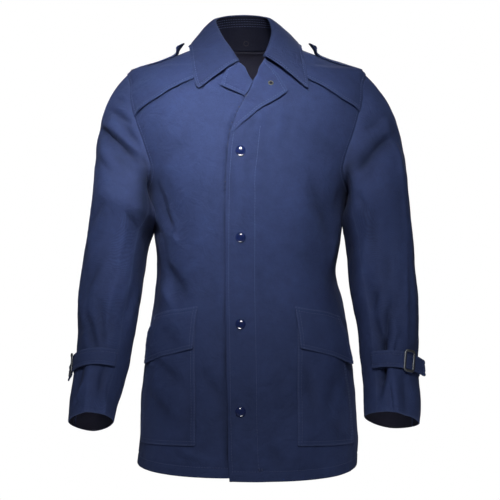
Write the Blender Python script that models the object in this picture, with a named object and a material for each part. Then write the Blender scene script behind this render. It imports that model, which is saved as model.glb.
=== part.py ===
"""A navy military parka on no wearer, built from the pieces that are cut and sewn.

Metres and +Z up; the front faces -Y and the wearer's left is +X. The origin is between the shoulders,
at the base of the neck, where a wearer holds the coat up. Tables are in millimetres.
"""

from collections import namedtuple
import math

import bmesh
import bpy
import numpy as np

# ---------------------------------------------------------------- driving sizes, mm
CLOTH = 1.6  # thickness of one piece of cloth
DOUBLE = 2.0  # thickness of flaps, straps and shoulder straps, which are two layers
SEAM = 0.3  # gap between two pieces at a seam
LAY = 0.9  # gap between a panel and what is sewn on it
HEM_SIDE = -749  # height of the hem at the side seams and round the back
HEM_DIP_LEFT = 15  # how much lower the left front hangs at the middle
HEM_DIP_RIGHT = 9
FRONT_EDGE = -35  # x of the left front's edge, which lies over the right front
UNDERLAP = 13  # x of the right front's edge, hidden under the left front
OVERLAP_RISE = 3.4  # how far the left front stands out where it lies on the right front
BUTTON_COUNT = 4
BUTTON_X = -10
BUTTON_TOP = -189
BUTTON_PITCH = 151
BUTTON_RADIUS = 9
BUTTON_HEIGHT = 4.5
BUTTON_SIDES = 16
STRAP_WIDTH = 28
BUCKLE = (23, 40)  # outer size round the sleeve and along it
BUCKLE_BAR = 4.5
BUCKLE_DEPTH = 3
BUCKLE_CORNER = 4.5
SHOULDER_STRAP = (46, 38)  # width at the sleeve and near the free end

# Rings of the body from the hem to the neck: half width, how far the ring's middle lies to the wearer's left,
# depth forwards and back of the middle, where the middle lies, and the ring's roundness across and through
# (2 is an ellipse, more is squarer).
Level = namedtuple("Level", "height half shift front back middle flat round")
BODY = [
    Level(-810, 202, 1, 153, 143, 0, 2.5, 2.0),
    Level(-748, 201, 2, 152, 142, 0, 2.5, 2.0),
    Level(-700, 199, 4, 151, 140, 0, 2.5, 2.0),
    Level(-637, 196, 4, 148, 138, 0, 2.5, 2.0),
    Level(-578, 190, 3, 143, 134, 0, 2.5, 2.0),
    Level(-520, 184, 3, 137, 129, 0, 2.5, 2.0),
    Level(-461, 174, 3, 130, 124, 0, 2.5, 2.0),
    Level(-403, 165, 0, 125, 120, 0, 2.5, 2.0),
    Level(-344, 170, 2, 127, 122, 0, 2.5, 2.0),
    Level(-262, 184, 1, 134, 130, 0, 2.5, 2.0),
    Level(-200, 206, 0, 136, 133, 2, 2.4, 2.0),
    Level(-140, 224, 0, 133, 130, 4, 2.3, 1.95),
    Level(-88, 226, 0, 121, 121, 8, 2.2, 1.8),
    Level(-55, 222, 0, 109, 112, 11, 1.95, 1.55),
    Level(-38, 216, 0, 100, 105, 12, 1.8, 1.45),
    Level(-29, 183, 0, 96, 100, 12, 1.7, 1.4),
    Level(-14, 139, 0, 87, 93, 12, 1.7, 1.4),
    Level(0, 102, 0, 76, 85, 12, 1.75, 1.5),
    Level(8, 82, 0, 68, 78, 12, 1.9, 1.7),
    Level(14, 66, 0, 60, 70, 12, 2.0, 2.0),
]
ARMPIT = -262
SHOULDER_TIP = -38

# The armhole seam: how far round from the side it lies, in degrees, in front and behind.
Seam = namedtuple("Seam", "height front back")
ARMHOLE = [
    Seam(-262, 0, 0),
    Seam(-258, 10, 8),
    Seam(-248, 20, 16.5),
    Seam(-235, 28, 22),
    Seam(-212, 34, 26),
    Seam(-185, 34.3, 26),
    Seam(-156, 33, 24.5),
    Seam(-127, 29, 22),
    Seam(-98, 24.3, 20),
    Seam(-71, 21, 18),
    Seam(-51, 13.5, 12),
    Seam(-38, 0, 0),
]

# Where each front ends towards the middle: the edge, then up the roll line of the lapel to the neck.
Edge = namedtuple("Edge", "height left right")
FRONT_EDGES = [
    Edge(-800, -27, 13),
    Edge(-708, -32, 13),
    Edge(-536, -35, 13),
    Edge(-400, -37, 13),
    Edge(-250, -36, 13),
    Edge(-188, -32, 13),
    Edge(-156, -28, 13),
    Edge(-121, -15, 13),
    Edge(-99, -4, 13),
    Edge(-66, 10, 10),
    Edge(-48, 19, -3),
    Edge(-28, 28, -15),
    Edge(-8, 44, -33),
    Edge(5, 56, -48),
    Edge(14, 62, -58),
]

# Rings of each sleeve below its cap: outer and inner x, where its middle lies, half its depth, how far it leans
# forward and how far its outer side is raised, in degrees, and how square its section is.
Ring = namedtuple("Ring", "height outer inner middle depth lean roll square")
SLEEVES = {
    "right": [
        Ring(-292, 280, 160, -15, 84, 4, 18, 2.8),
        Ring(-344, 289, 176, -15, 77, 9, 6, 2.3),
        Ring(-402, 298, 184, -25, 71, 14, 0, 2.1),
        Ring(-459, 303, 192, -42, 67, 18, 0, 2.1),
        Ring(-516, 303, 201, -62, 63, 21, 0, 2.0),
        Ring(-571, 304, 210, -84, 59, 22, 0, 1.9),
        Ring(-626, 310, 222, -106, 57, 23, -1, 1.8),
        Ring(-663, 312, 231, -121, 55, 24, -1.5, 1.65),
    ],
    "left": [
        Ring(-292, 296, 172, -10, 83, 4, 18, 2.4),
        Ring(-344, 302, 180, -13, 76, 9, 6, 2.2),
        Ring(-402, 306, 185, -25, 72, 13, 0, 2.1),
        Ring(-459, 309, 192, -42, 69, 16, 0, 2.1),
        Ring(-516, 309, 200, -60, 66, 18, -2, 2.0),
        Ring(-571, 305, 204, -80, 63, 19, -3, 1.9),
        Ring(-626, 307, 206, -100, 61, 20, -5, 1.8),
        Ring(-661, 304, 207, -113, 59, 20, -7.5, 1.65),
    ],
}
CAP_ROWS = 6
ARM_ROWS = 13
FRONT_SEAM = 132  # degrees round the sleeve, from its outer side over the front
BACK_SEAM = 325

# The collar, from its right front end round the neck to its left: the fold at its top, its outer edge, and the
# seam that joins its stand to the neck.
Turn = namedtuple("Turn", "fold edge neck")
COLLAR = [
    Turn((-14, -90, -27), (-87, -107, -80), (-14, -84, -27)),
    Turn((-27, -71, -5), (-93, -93, -57), (-29, -66, -9)),
    Turn((-40, -44, 16), (-99, -61, -25), (-45.5, -37, 8.5)),
    Turn((-52, -13, 40), (-104, -20, 4), (-61.5, -14, 15)),
    Turn((-59, 22, 62), (-105, 18, 11), (-70, 18, 13.8)),
    Turn((-46, 56, 73), (-84, 74, 9), (-50, 61, 13.8)),
    Turn((-8, 74, 78), (-6, 104, 3), (-2, 83, 13.8)),
    Turn((30, 58, 74), (76, 77, 8), (48, 62, 13.8)),
    Turn((43, 24, 64), (99, 18, 13), (70, 18, 13.8)),
    Turn((48, -13, 39), (101, -20, 4), (62.5, -13, 14.2)),
    Turn((44, -44, 16), (104, -53, -20), (52.5, -35, 7)),
    Turn((37, -69, -5), (108, -86, -51), (38, -64, -8)),
    Turn((32, -84, -17), (112, -101, -81), (33, -78, -17)),
]
NECK_MIDDLE = (0, 5, 0)
LEAF_BOW = 4.5  # how far the leaf's middle stands out of the straight line from fold to edge
LEAF_LIFT = 6  # how far the leaf's outer face stays above the body's
LEAF_STEPS = [0, 0.08, 0.22, 0.4, 0.6, 0.8, 1]
COLLAR_COLUMNS = 34
STAND_ROWS = 5
STAND_INSET = 3  # columns of the collar at each end that have no stand
STAND_GAP = 2.2  # between the outer faces of leaf and stand at the fold

# Large folds: two ends round the piece in degrees and up it, half the fold's width, and its height (a trough is
# negative). On the body 0 is the wearer's left side and 90 the middle of the front.
Fold = namedtuple("Fold", "turn1 height1 turn2 height2 width rise")
BODY_FOLDS = [
    Fold(142, -215, 128, -330, 22, -4),
    Fold(150, -380, 136, -440, 16, -4),
    Fold(158, -330, 160, -420, 16, 3),
    Fold(120, -580, 103, -650, 22, -3),
    Fold(44, -230, 30, -360, 20, -4),
    Fold(20, -330, 18, -430, 16, 3),
    Fold(60, -590, 75, -660, 22, -3),
    Fold(-35, -230, -50, -400, 24, -4),
    Fold(-145, -230, -128, -400, 24, -4),
    Fold(-90, -330, -88, -560, 30, 3),
    Fold(-70, -420, -62, -700, 26, -4),
    Fold(-112, -440, -118, -700, 26, -4),
]
SLEEVE_FOLDS = {
    "right": [
        Fold(30, -104, 92, -140, 10, -5),
        Fold(28, -124, 98, -166, 10, -5),
        Fold(20, -150, 92, -196, 11, -4),
        Fold(60, -260, 130, -300, 16, 4),
        Fold(120, -340, 70, -460, 14, -4),
        Fold(28, -290, 44, -370, 14, 4),
        Fold(20, -420, 50, -510, 14, 4),
        Fold(150, -420, 130, -500, 14, -4),
        Fold(300, -320, 240, -370, 16, -5),
        Fold(310, -380, 250, -420, 14, -5),
        Fold(290, -450, 250, -520, 14, 4),
        Fold(250, -130, 300, -200, 16, -4),
    ],
    "left": [
        Fold(20, -150, 90, -205, 12, -5),
        Fold(36, -130, 38, -520, 9, 4),
        Fold(75, -300, 80, -400, 12, -4),
        Fold(105, -270, 110, -360, 13, 4),
        Fold(85, -430, 70, -500, 12, -5),
        Fold(125, -400, 120, -500, 12, -4),
        Fold(82, -520, 86, -566, 8, -6),
        Fold(100, -596, 94, -640, 9, -6),
        Fold(300, -320, 240, -370, 16, -5),
        Fold(310, -380, 250, -420, 14, -5),
        Fold(280, -460, 240, -530, 14, 4),
        Fold(250, -130, 300, -200, 16, -4),
    ],
}
SLEEVE_RADIUS = 68  # turns the degrees of a sleeve fold into a length
BODY_RADIUS = 165

# Outlines on the fronts as (x, height): the left side's, mirrored for the right where both are alike.
POCKET = {"inner": (88, 88), "outer": (168, 190), "top": -500, "bottom": (-703, -708)}
FLAP_TOP = [(84, -460), (110, -465), (139, -470), (168, -480)]
FLAP_BOTTOM = {
    "left": [(92, -534), (118, -541), (150, -551), (180, -568)],
    "right": [(91, -535), (116, -542), (148, -552), (176, -567)],
}
YOKE_EDGE = {
    "left": [(84, -50), (111, -62), (131, -71), (149, -82), (167, -93), (185, -102)],
    "right": [(76, -52), (93, -60), (109, -67), (136, -80), (159, -94), (181, -107)],
}
YOKE_SIDE = {"left": -114, "right": -124}  # where the yoke's edge meets the armhole
YOKE_HIDDEN = [(84, -38), (84, -24), (85, -12), (87, -4)]  # its edge under the collar
YOKE_TOP_X = 90  # where it ends on the shoulder's ridge
YOKE_GRID = (12, 10)  # columns and rows of points
LAPEL_GRID = (6, 12)
POCKET_GRID = (9, 10)
FLAP_GRID = (9, 6)
LAPEL_FOLD = {
    "left": [(-27, -155), (-15, -122), (-4, -99), (10, -68), (20, -49), (32, -19)],
    "right": [(4, -60), (-11, -29)],
}
LAPEL_EDGE = {
    "left": [(-22, -157), (-4, -139), (20, -120), (38, -108), (56, -97), (73, -84)],
    "right": [(-4, -92), (-29, -81), (-45, -74)],
}
LAPEL_TOP = {
    "left": [(32, -19), (47, -42), (54, -50), (62, -65), (73, -84)],
    "right": [(-11, -29), (-30, -35), (-38, -50), (-45, -74)],
}

# ---------------------------------------------------------------- curves


def smooth(places, values, at):
    """The value at each place of the smooth curve through the rows, which never swings past them."""
    places, values = np.asarray(places, float), np.asarray(values, float)
    step = np.diff(values) / np.diff(places)
    product, total = step[:-1] * step[1:], step[:-1] + step[1:]
    inner = np.where(product > 0, 2 * product / np.where(total == 0, 1, total), 0)
    slope = np.concatenate([step[:1], inner, step[-1:]])
    i = np.clip(np.searchsorted(places, at) - 1, 0, len(places) - 2)
    span = places[i + 1] - places[i]
    u = np.clip((at - places[i]) / span, 0, 1)
    ends = values[i] * (1 + 2 * u) * (1 - u) ** 2 + values[i + 1] * u * u * (3 - 2 * u)
    return ends + span * u * (1 - u) * (slope[i] * (1 - u) - slope[i + 1] * u)


def spline(points, place):
    """The smooth curve through the points, where place counts from each point to the next."""
    points = np.asarray(points, float)
    padded = np.vstack([2 * points[0] - points[1], points, 2 * points[-1] - points[-2]])
    i = np.minimum(place.astype(int), len(points) - 2)
    u = (place - i)[:, None]
    a, b, c, d = padded[i], padded[i + 1], padded[i + 2], padded[i + 3]
    return b + u / 2 * (c - a + u * (2 * a - 5 * b + 4 * c - d + u * (3 * b - a - 3 * c + d)))


def curve(points, count):
    """A smooth curve through the points, as count points at even steps along it."""
    last = len(points) - 1
    return even(spline(points, np.linspace(0, last, 24 * last + 1)), count)


def even(line, count):
    """The same line with count points at even steps."""
    along = np.concatenate([[0], np.cumsum(np.linalg.norm(np.diff(line, axis=0), axis=1))])
    wanted = np.linspace(0, along[-1], count)
    return np.stack([np.interp(wanted, along, line[:, k]) for k in range(line.shape[1])], axis=1)


def ease(value):
    value = np.clip(value, 0, 1)
    return value * value * (3 - 2 * value)


def unit(vectors):
    return vectors / np.maximum(np.linalg.norm(vectors, axis=-1, keepdims=True), 1e-9)


def fold_relief(folds, turn, height, radius):
    """How far the cloth stands out at a turn in degrees and a height, from soft folds with tapering ends."""
    total = np.zeros(np.broadcast(turn, height).shape)
    for fold in folds:
        a = np.array([fold.turn1 * radius * math.pi / 180, fold.height1])
        b = np.array([fold.turn2 * radius * math.pi / 180, fold.height2])
        along = b - a
        px = turn * radius * math.pi / 180 - a[0]
        pz = height - a[1]
        share = np.clip((px * along[0] + pz * along[1]) / (along @ along), 0, 1)
        away = np.hypot(px - share * along[0], pz - share * along[1])
        swell = 0.35 + 0.65 * np.sin(math.pi * np.clip(share, 0.02, 0.98))
        total += fold.rise * swell * np.exp(-((away / fold.width) ** 2))
    return total


# ---------------------------------------------------------------- the body's form

COLUMNS = {name: np.array([getattr(row, name) for row in BODY], float) for name in Level._fields}
RUNS = np.concatenate([[0], np.cumsum(np.hypot(np.diff(COLUMNS["half"]), np.diff(COLUMNS["height"])))])
FINE_RUN = np.linspace(0, RUNS[-1], 4000)
FINE_HEIGHT = smooth(RUNS, COLUMNS["height"], FINE_RUN)


def level(run, name):
    return smooth(RUNS, COLUMNS[name], run)


def run_at(height):
    """How far up the body's side line, measured along it, a height lies."""
    return np.interp(height, FINE_HEIGHT, FINE_RUN)


def ridge_run(x):
    """The run at which the shoulder's ridge has this x."""
    rows = COLUMNS["height"] > SHOULDER_TIP
    return np.interp(-x, -COLUMNS["half"][rows], RUNS[rows])


def plain_body(turn, run):
    """A point of the body's ring, turn in radians from the wearer's left over the front."""
    c, s = np.cos(turn), np.sin(turn)
    depth = np.where(s > 0, level(run, "front"), level(run, "back"))
    x = level(run, "half") * np.sign(c) * np.abs(c) ** (2 / level(run, "flat"))
    y = level(run, "middle") - depth * np.sign(s) * np.abs(s) ** (2 / level(run, "round"))
    return np.stack(np.broadcast_arrays(x + level(run, "shift"), y, level(run, "height")), axis=-1)


def body_normal(turn, run):
    step = 0.012
    across = plain_body(turn + step, run) - plain_body(turn - step, run)
    up = plain_body(turn, run + 1.5) - plain_body(turn, run - 1.5)
    return unit(np.cross(up, across))


def body(turn, run, lift=0.0):
    """A point on the body's cloth, lift above its outer face, with the large folds."""
    turn, run = np.broadcast_arrays(np.asarray(turn, float), np.asarray(run, float))
    degrees = np.degrees((turn + math.pi) % (2 * math.pi) - math.pi)
    degrees = np.where(degrees < -179.9, 180, degrees)
    plain = plain_body(turn, run)
    relief = fold_relief(BODY_FOLDS, degrees, plain[..., 2], BODY_RADIUS)
    return plain + body_normal(turn, run) * np.expand_dims(relief + lift, -1)


def turn_at(x, run):
    """The turn, on the front, at which the ring has this x."""
    away = np.asarray(x) - level(run, "shift")
    c = np.clip(np.abs(away) / level(run, "half"), 0, 1) ** (level(run, "flat") / 2)
    return np.where(away > 0, np.arccos(c), math.pi - np.arccos(c))


def on_body(outline):
    """An outline of (x, height) on the front as rows of (turn, run)."""
    outline = np.asarray(outline, float)
    run = run_at(outline[:, 1])
    return np.stack([turn_at(outline[:, 0], run), run], axis=1)


def armhole_turn(height, where):
    heights = [row.height for row in ARMHOLE]
    return np.radians(smooth(heights, [getattr(row, where) for row in ARMHOLE], height))


def front_edge(height, side):
    return smooth([row.height for row in FRONT_EDGES], [getattr(row, side) for row in FRONT_EDGES], height)


def overlap_rise(x, height):
    """How far the left front stands out where it lies over the right one, more where it crosses the lapel."""
    crossing = 2.6 * ease((height + 110) / 22) * ease((24 - x) / 14)
    return OVERLAP_RISE * ease((42 - x) / 24) * ease((-20 - height) / 40) + crossing * ease((-30 - height) / 25)


# Points of the body's outer face, for seating what lies on it.
SCAN_TURN, SCAN_RUN = np.meshgrid(np.linspace(-math.pi, math.pi, 240), np.linspace(60, RUNS[-1] - 2, 150))
SCAN = body(SCAN_TURN, SCAN_RUN).reshape(-1, 3)
SCAN_NORMAL = body_normal(SCAN_TURN, SCAN_RUN).reshape(-1, 3)


def settle(points, lift):
    """The points, with those nearer to the body's face than lift moved out to it."""
    shape = points.shape
    points = points.reshape(-1, 3).copy()
    for start in range(0, len(points), 256):
        part = points[start : start + 256]
        nearest = ((part[:, None] - SCAN[None]) ** 2).sum(axis=2).argmin(axis=1)
        height = ((part - SCAN[nearest]) * SCAN_NORMAL[nearest]).sum(axis=1)
        part += SCAN_NORMAL[nearest] * np.maximum(lift - height, 0)[:, None]
    return points.reshape(shape)


# ---------------------------------------------------------------- the sleeves' form


def side_sign(side):
    return 1 if side == "left" else -1


def sleeve_ring(side, along, turn):
    """A point of a sleeve's ring: along its table from 0 to 1, at a turn in degrees round it."""
    rows = SLEEVES[side]
    places = np.linspace(0, 1, len(rows))
    got = {name: smooth(places, [getattr(row, name) for row in rows], along) for name in Ring._fields}
    lean, roll = np.radians(got["lean"]), np.radians(got["roll"])
    angle = np.radians(turn)
    power = 2 / got["square"]
    c = np.sign(np.cos(angle)) * np.abs(np.cos(angle)) ** power
    s = np.sign(np.sin(angle)) * np.abs(np.sin(angle)) ** power
    half = (got["outer"] - got["inner"]) / 2
    x = (got["outer"] + got["inner"]) / 2 + half * c
    y = got["middle"] - got["depth"] * s * np.cos(lean)
    z = got["height"] + half * c * np.tan(roll) + got["depth"] * s * np.sin(lean)
    return np.stack(np.broadcast_arrays(side_sign(side) * x, y, z), axis=-1)


def armhole_ring(side, heights):
    """The armhole seam's points, from the shoulder down the front and up the back, with each one's turn."""
    heights = np.asarray(heights, float)
    run = run_at(heights)
    front = body(armhole_turn(heights, "front"), run)
    back = body(-armhole_turn(heights, "back"), run)
    if side == "right":
        front = body(math.pi - armhole_turn(heights, "front"), run)
        back = body(-math.pi + armhole_turn(heights, "back"), run)
    ring = np.vstack([front, back[::-1][1:-1]])
    steps = np.linalg.norm(np.diff(np.vstack([ring, ring[:1]]), axis=0), axis=1)
    down = np.cumsum(steps)[: len(heights) - 1]
    up = np.cumsum(steps[len(heights) - 1 :])
    turns = np.concatenate([[0], 180 * down / down[-1], 180 + 180 * up[:-1] / up[-1]])
    return ring, turns


def sleeve_face(side, heights, cap_rows, lower_rows):
    """The sleeve's outer face as rows down it of points round it, and the turn of each column."""
    ring, turns = armhole_ring(side, heights)
    angle = np.radians(turns)
    out = np.stack([np.full_like(angle, side_sign(side)), -0.25 * np.sin(angle), np.zeros_like(angle)], axis=1)
    down = np.array([0, 0, -1.0])
    low = (1 - np.cos(angle)) / 2
    start_way = unit(out * (0.74 + 0.5 * low)[:, None] + down * (0.68 - 0.35 * low)[:, None])
    first = sleeve_ring(side, 0.0, turns)
    second = sleeve_ring(side, 0.04, turns)
    reach = np.linalg.norm(first - ring, axis=1, keepdims=True)
    start_way = start_way * reach * (1.15 - 0.6 * low[:, None])
    end_way = unit(second - first) * reach
    rows = []
    for u in np.linspace(0, 1, cap_rows + 1)[:-1]:
        rows.append(
            (2 * u**3 - 3 * u**2 + 1) * ring
            + (u**3 - 2 * u**2 + u) * start_way
            + (3 * u**2 - 2 * u**3) * first
            + (u**3 - u**2) * end_way
        )
    rows[0] = ring + unit(start_way) * SEAM
    for along in np.linspace(0, 1, lower_rows + 1):
        rows.append(sleeve_ring(side, along, turns))
    face = np.array(rows)
    normal = tube_normals(face)
    ease_in = ease(np.arange(len(face)) / (0.6 * cap_rows))[:, None]
    relief = fold_relief(SLEEVE_FOLDS[side], turns[None, :], face[..., 2], SLEEVE_RADIUS) * ease_in
    face = face + normal * relief[..., None]
    free = face[1:]
    below = free[..., 2] < ARMPIT - 3
    free[below] = settle(free[below], 2.2)
    return face, turns


def tube_normals(face):
    """Outward normals of a tube given as rings of points."""
    round_it = np.roll(face, -1, axis=1) - np.roll(face, 1, axis=1)
    along = np.gradient(face, axis=0)
    normal = unit(np.cross(along, round_it))
    centre = face.mean(axis=1, keepdims=True)
    return normal * np.sign(((face - centre) * normal).sum())


# ---------------------------------------------------------------- making solids


def finish(name, colour, roughness, metallic=0.0):
    made = bpy.data.materials.new(name)
    made.use_nodes = True
    shader = made.node_tree.nodes["Principled BSDF"]
    shader.inputs["Base Color"].default_value = (*colour, 1)
    shader.inputs["Roughness"].default_value = roughness
    shader.inputs["Metallic"].default_value = metallic
    return made


def add_mesh(name, points, faces, material):
    mesh = bpy.data.meshes.new(name)
    mesh.from_pydata([tuple(p) for p in np.asarray(points, float) / 1000], [], faces)
    shape = bmesh.new()
    shape.from_mesh(mesh)
    bmesh.ops.recalc_face_normals(shape, faces=shape.faces)
    shape.to_mesh(mesh)
    shape.free()
    mesh.shade_smooth()
    mesh.set_sharp_from_angle(angle=math.radians(50))
    mesh.materials.append(material)
    made = bpy.data.objects.new(name, mesh)
    bpy.context.collection.objects.link(made)
    return made


def trimmed(grid, gap=SEAM / 2):
    """A grid whose border is drawn in, so that two pieces with the same seam stand apart."""
    grid = np.array(grid)
    for edge, inner in ((0, 1), (-1, -2)):
        grid[edge] += unit(grid[inner] - grid[edge]) * gap
    for edge, inner in ((0, 1), (-1, -2)):
        grid[:, edge] += unit(grid[:, inner] - grid[:, edge]) * gap
    return grid


def sheet(name, outer, inner, material):
    """A closed wall between two grids of points."""
    rows, columns = outer.shape[:2]
    count = rows * columns
    place = np.arange(count).reshape(rows, columns)
    faces = []
    for i in range(rows - 1):
        for j in range(columns - 1):
            a, b, c, d = place[i, j], place[i, j + 1], place[i + 1, j + 1], place[i + 1, j]
            faces.append((a, b, c, d))
            faces.append((d + count, c + count, b + count, a + count))
    border = list(place[0]) + list(place[1:, -1]) + list(place[-1, -2::-1]) + list(place[-2:0:-1, 0])
    for a, b in zip(border, border[1:] + border[:1]):
        faces.append((b, a, a + count, b + count))
    faces = [tuple(int(k) for k in face) for face in faces]
    return add_mesh(name, np.vstack([outer.reshape(-1, 3), inner.reshape(-1, 3)]), faces, material)


def body_sheet(name, turn, run, lift, thickness, material):
    """A piece on the body from grids of turn and run, its lower face lift above the panel's outer face."""
    outer = trimmed(body(turn, run, lift + thickness))
    inner = trimmed(body(turn, run, lift))
    return sheet(name, outer, inner, material)


def patch(bottom, top, left, right):
    """A grid between four border lines: bottom and top run from left to right, left and right run upwards."""
    u = np.linspace(0, 1, len(bottom))[None, :, None]
    v = np.linspace(0, 1, len(left))[:, None, None]
    across = (1 - v) * bottom[None] + v * top[None]
    upward = (1 - u) * left[:, None] + u * right[:, None]
    corners = (1 - v) * ((1 - u) * bottom[0] + u * bottom[-1]) + v * ((1 - u) * top[0] + u * top[-1])
    return across + upward - corners


# ---------------------------------------------------------------- rows shared by the panels

FRONT_COLUMNS = 14
BACK_COLUMNS = 23
LOW_ROWS = 10
ARMHOLE_ROWS = [-262, -256, -244, -222, -194, -164, -132, -100, -70, -51, -38]
TOP_ROWS = [-35, -31, -22, -10, 2, 13]


def panel_rows(columns, hem):
    """A grid of run for a panel, its lowest row at the hem heights given for its columns."""
    share = np.linspace(0, 1, LOW_ROWS + 1)[:-1, None]
    low = run_at(hem) + share * (run_at(ARMPIT) - run_at(hem))
    high = np.repeat(run_at(np.array(ARMHOLE_ROWS + TOP_ROWS, float))[:, None], columns, axis=1)
    return np.vstack([low, high])


def outer_turns(where):
    """How far round from the side each row of a panel begins."""
    armhole = armhole_turn(np.array(ARMHOLE_ROWS, float), where)
    return np.concatenate([np.zeros(LOW_ROWS), armhole, np.zeros(len(TOP_ROWS))])


def make_front(side, material):
    columns = FRONT_COLUMNS
    share = np.linspace(0, 1, columns) ** 1.35
    half = level(run_at(HEM_SIDE), "half")
    dip = HEM_DIP_LEFT if side == "left" else HEM_DIP_RIGHT
    edge = FRONT_EDGE if side == "left" else -UNDERLAP
    hem = HEM_SIDE - dip * (1 - ((edge + (half - edge) * (1 - share)) / half) ** 2)
    run = panel_rows(columns, hem)
    height = level(run[:, -1], "height")
    inner = turn_at(front_edge(height, side), run[:, -1])
    outer = outer_turns("front")
    if side == "right":
        outer = math.pi - outer
    turn = outer[:, None] + share[None, :] * (inner - outer)[:, None]
    lift = 0
    if side == "left":
        plain = plain_body(turn, run)
        lift = overlap_rise(plain[..., 0], plain[..., 2])
    return body_sheet(f"front_{side}", turn, run, lift - CLOTH, CLOTH, material)


def make_back(material):
    columns = BACK_COLUMNS
    run = panel_rows(columns, np.full(columns, float(HEM_SIDE)))
    outer = outer_turns("back")
    share = (1 - np.cos(math.pi * np.linspace(0, 1, columns))) * 0.2 + 0.6 * np.linspace(0, 1, columns)
    turn = -outer[:, None] - share[None, :] * (math.pi - 2 * outer)[:, None]
    return body_sheet("back", turn, run, -CLOTH, CLOTH, material)


def make_yoke(side, material):
    columns, rows = YOKE_GRID
    low_height = YOKE_SIDE[side]
    armhole = np.linspace(low_height, SHOULDER_TIP - 0.5, 40)
    outer_side = np.stack([armhole_turn(armhole, "front") + 0.004, run_at(armhole)], axis=1)
    low_edge = np.vstack([on_body(YOKE_EDGE[side]), outer_side[:1]])
    top_run = ridge_run(YOKE_TOP_X)
    top_edge = np.array([[0.03, top_run], [0.03, outer_side[-1, 1]]])
    inner_side = np.vstack([low_edge[:1], on_body(YOKE_HIDDEN), top_edge[:1]])
    outer_side[-1] = top_edge[-1]
    grid = patch(
        curve(low_edge, columns),
        curve(top_edge, columns),
        curve(inner_side, rows),
        even(outer_side, rows),
    )
    turn, run = grid[..., 0], grid[..., 1]
    upward = np.linspace(0, 1, rows)[:, None]
    near_armhole = ease((plain_body(turn, run)[..., 0] - 140) / 30)
    tip = 1.3 * near_armhole * np.exp(-(((level(run, "height") - SHOULDER_TIP) / 9) ** 2))
    if side == "right":
        turn = math.pi - turn
    loose = 1.4 * (1 - upward) ** 3 + 2.2 * ease((upward - 0.55) / 0.35)
    return body_sheet(f"yoke_{side}", turn, run, LAY + loose + tip, CLOTH, material)


def make_sleeve(side, material):
    heights = ARMHOLE_ROWS[::-1]
    face, turns = sleeve_face(side, heights, CAP_ROWS, ARM_ROWS)
    inside = face - tube_normals(face) * CLOTH
    front = int(np.argmin(np.abs(turns - FRONT_SEAM)))
    back = int(np.argmin(np.abs(turns - BACK_SEAM)))
    top = list(range(back, len(turns))) + list(range(front + 1))
    under = list(range(front, back + 1))
    for name, columns in (("sleeve_top", top), ("sleeve_under", under)):
        outer, inner = trimmed(face[:, columns]), trimmed(inside[:, columns])
        sheet(f"{name}_{side}", outer, inner, material)


def collar_lines(count):
    """The fold, edge and neck seam of the collar as count points each, from its right end to its left."""
    place = np.linspace(0, len(COLLAR) - 1, count)
    return [spline([getattr(row, part) for row in COLLAR], place) for part in Turn._fields]


def make_collar(leaf_material, stand_material):
    fold, edge, neck = collar_lines(COLLAR_COLUMNS)
    outward = unit(np.cross(edge - fold, np.gradient(fold, axis=0)))
    away = ((fold + edge) / 2 - NECK_MIDDLE)[:, :2]
    outward *= np.sign((away * outward[:, :2]).sum(axis=1))[:, None]
    steps = np.array(LEAF_STEPS)
    bow = LEAF_BOW * np.sin(math.pi * steps**0.6)
    leaf = fold[None] + steps[:, None, None] * (edge - fold)[None] + bow[:, None, None] * outward[None]
    leaf = settle(leaf, LEAF_LIFT)
    normal = grid_normals(leaf, outward)
    sheet("collar", trimmed(leaf), trimmed(leaf - normal * CLOTH), leaf_material)
    part = slice(STAND_INSET, -STAND_INSET)
    top = (fold - STAND_GAP * outward)[part]
    steps = np.linspace(0, 1, STAND_ROWS)[:, None, None]
    stand = top[None] + steps * (neck[part] - top)[None]
    inward = grid_normals(stand, -outward[part])
    sheet("collar_stand", trimmed(stand + inward * CLOTH), trimmed(stand), stand_material)


def grid_normals(grid, towards):
    """Unit normals of a grid of points, on the side that towards points to."""
    normal = unit(np.cross(np.gradient(grid, axis=0), np.gradient(grid, axis=1)))
    sign = np.sign((normal * towards).sum(axis=-1, keepdims=True))
    return normal * np.where(sign == 0, 1, sign)


def make_lapel(side, material):
    columns, rows = LAPEL_GRID
    fold = on_body(LAPEL_FOLD[side])
    edge = on_body(LAPEL_EDGE[side])
    top = on_body(LAPEL_TOP[side])
    low = np.array([fold[0], edge[0]])
    grid = patch(curve(low, columns), curve(top, columns), curve(fold, rows), curve(edge, rows))
    turn, run = grid[..., 0], grid[..., 1]
    away = np.linspace(0, 1, columns)[None, :]
    lift = LAY - 0.1 + 2.2 * (1 - away) ** 2 + 0 * turn
    if side == "left":
        plain = plain_body(turn, run)
        lift = lift + overlap_rise(plain[..., 0], plain[..., 2])
    return body_sheet(f"lapel_{side}", turn, run, lift, CLOTH, material)


def mirrored(outline, side):
    return [(side_sign(side) * x, z) for x, z in outline]


def make_pocket(side, material):
    inner_low, outer_low = POCKET["inner"][1], POCKET["outer"][1]
    corners = [
        (POCKET["inner"][0], POCKET["top"]),
        (POCKET["outer"][0] - 2, POCKET["top"] + 2),
        (inner_low, POCKET["bottom"][0]),
        (outer_low, POCKET["bottom"][1]),
    ]
    top_in, top_out, low_in, low_out = on_body(mirrored(corners, side))
    columns, rows = POCKET_GRID
    grid = patch(
        curve([low_in, low_out], columns),
        curve([top_in, top_out], columns),
        curve([low_in, top_in], rows),
        curve([low_out, top_out], rows),
    )
    across, upward = np.linspace(0, math.pi, columns), np.linspace(0, math.pi, rows)[:, None]
    lift = LAY + 0.4 + 2.5 * np.sin(across) * np.sin(upward)
    return body_sheet(f"pocket_{side}", grid[..., 0], grid[..., 1], lift, CLOTH, material)


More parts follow.
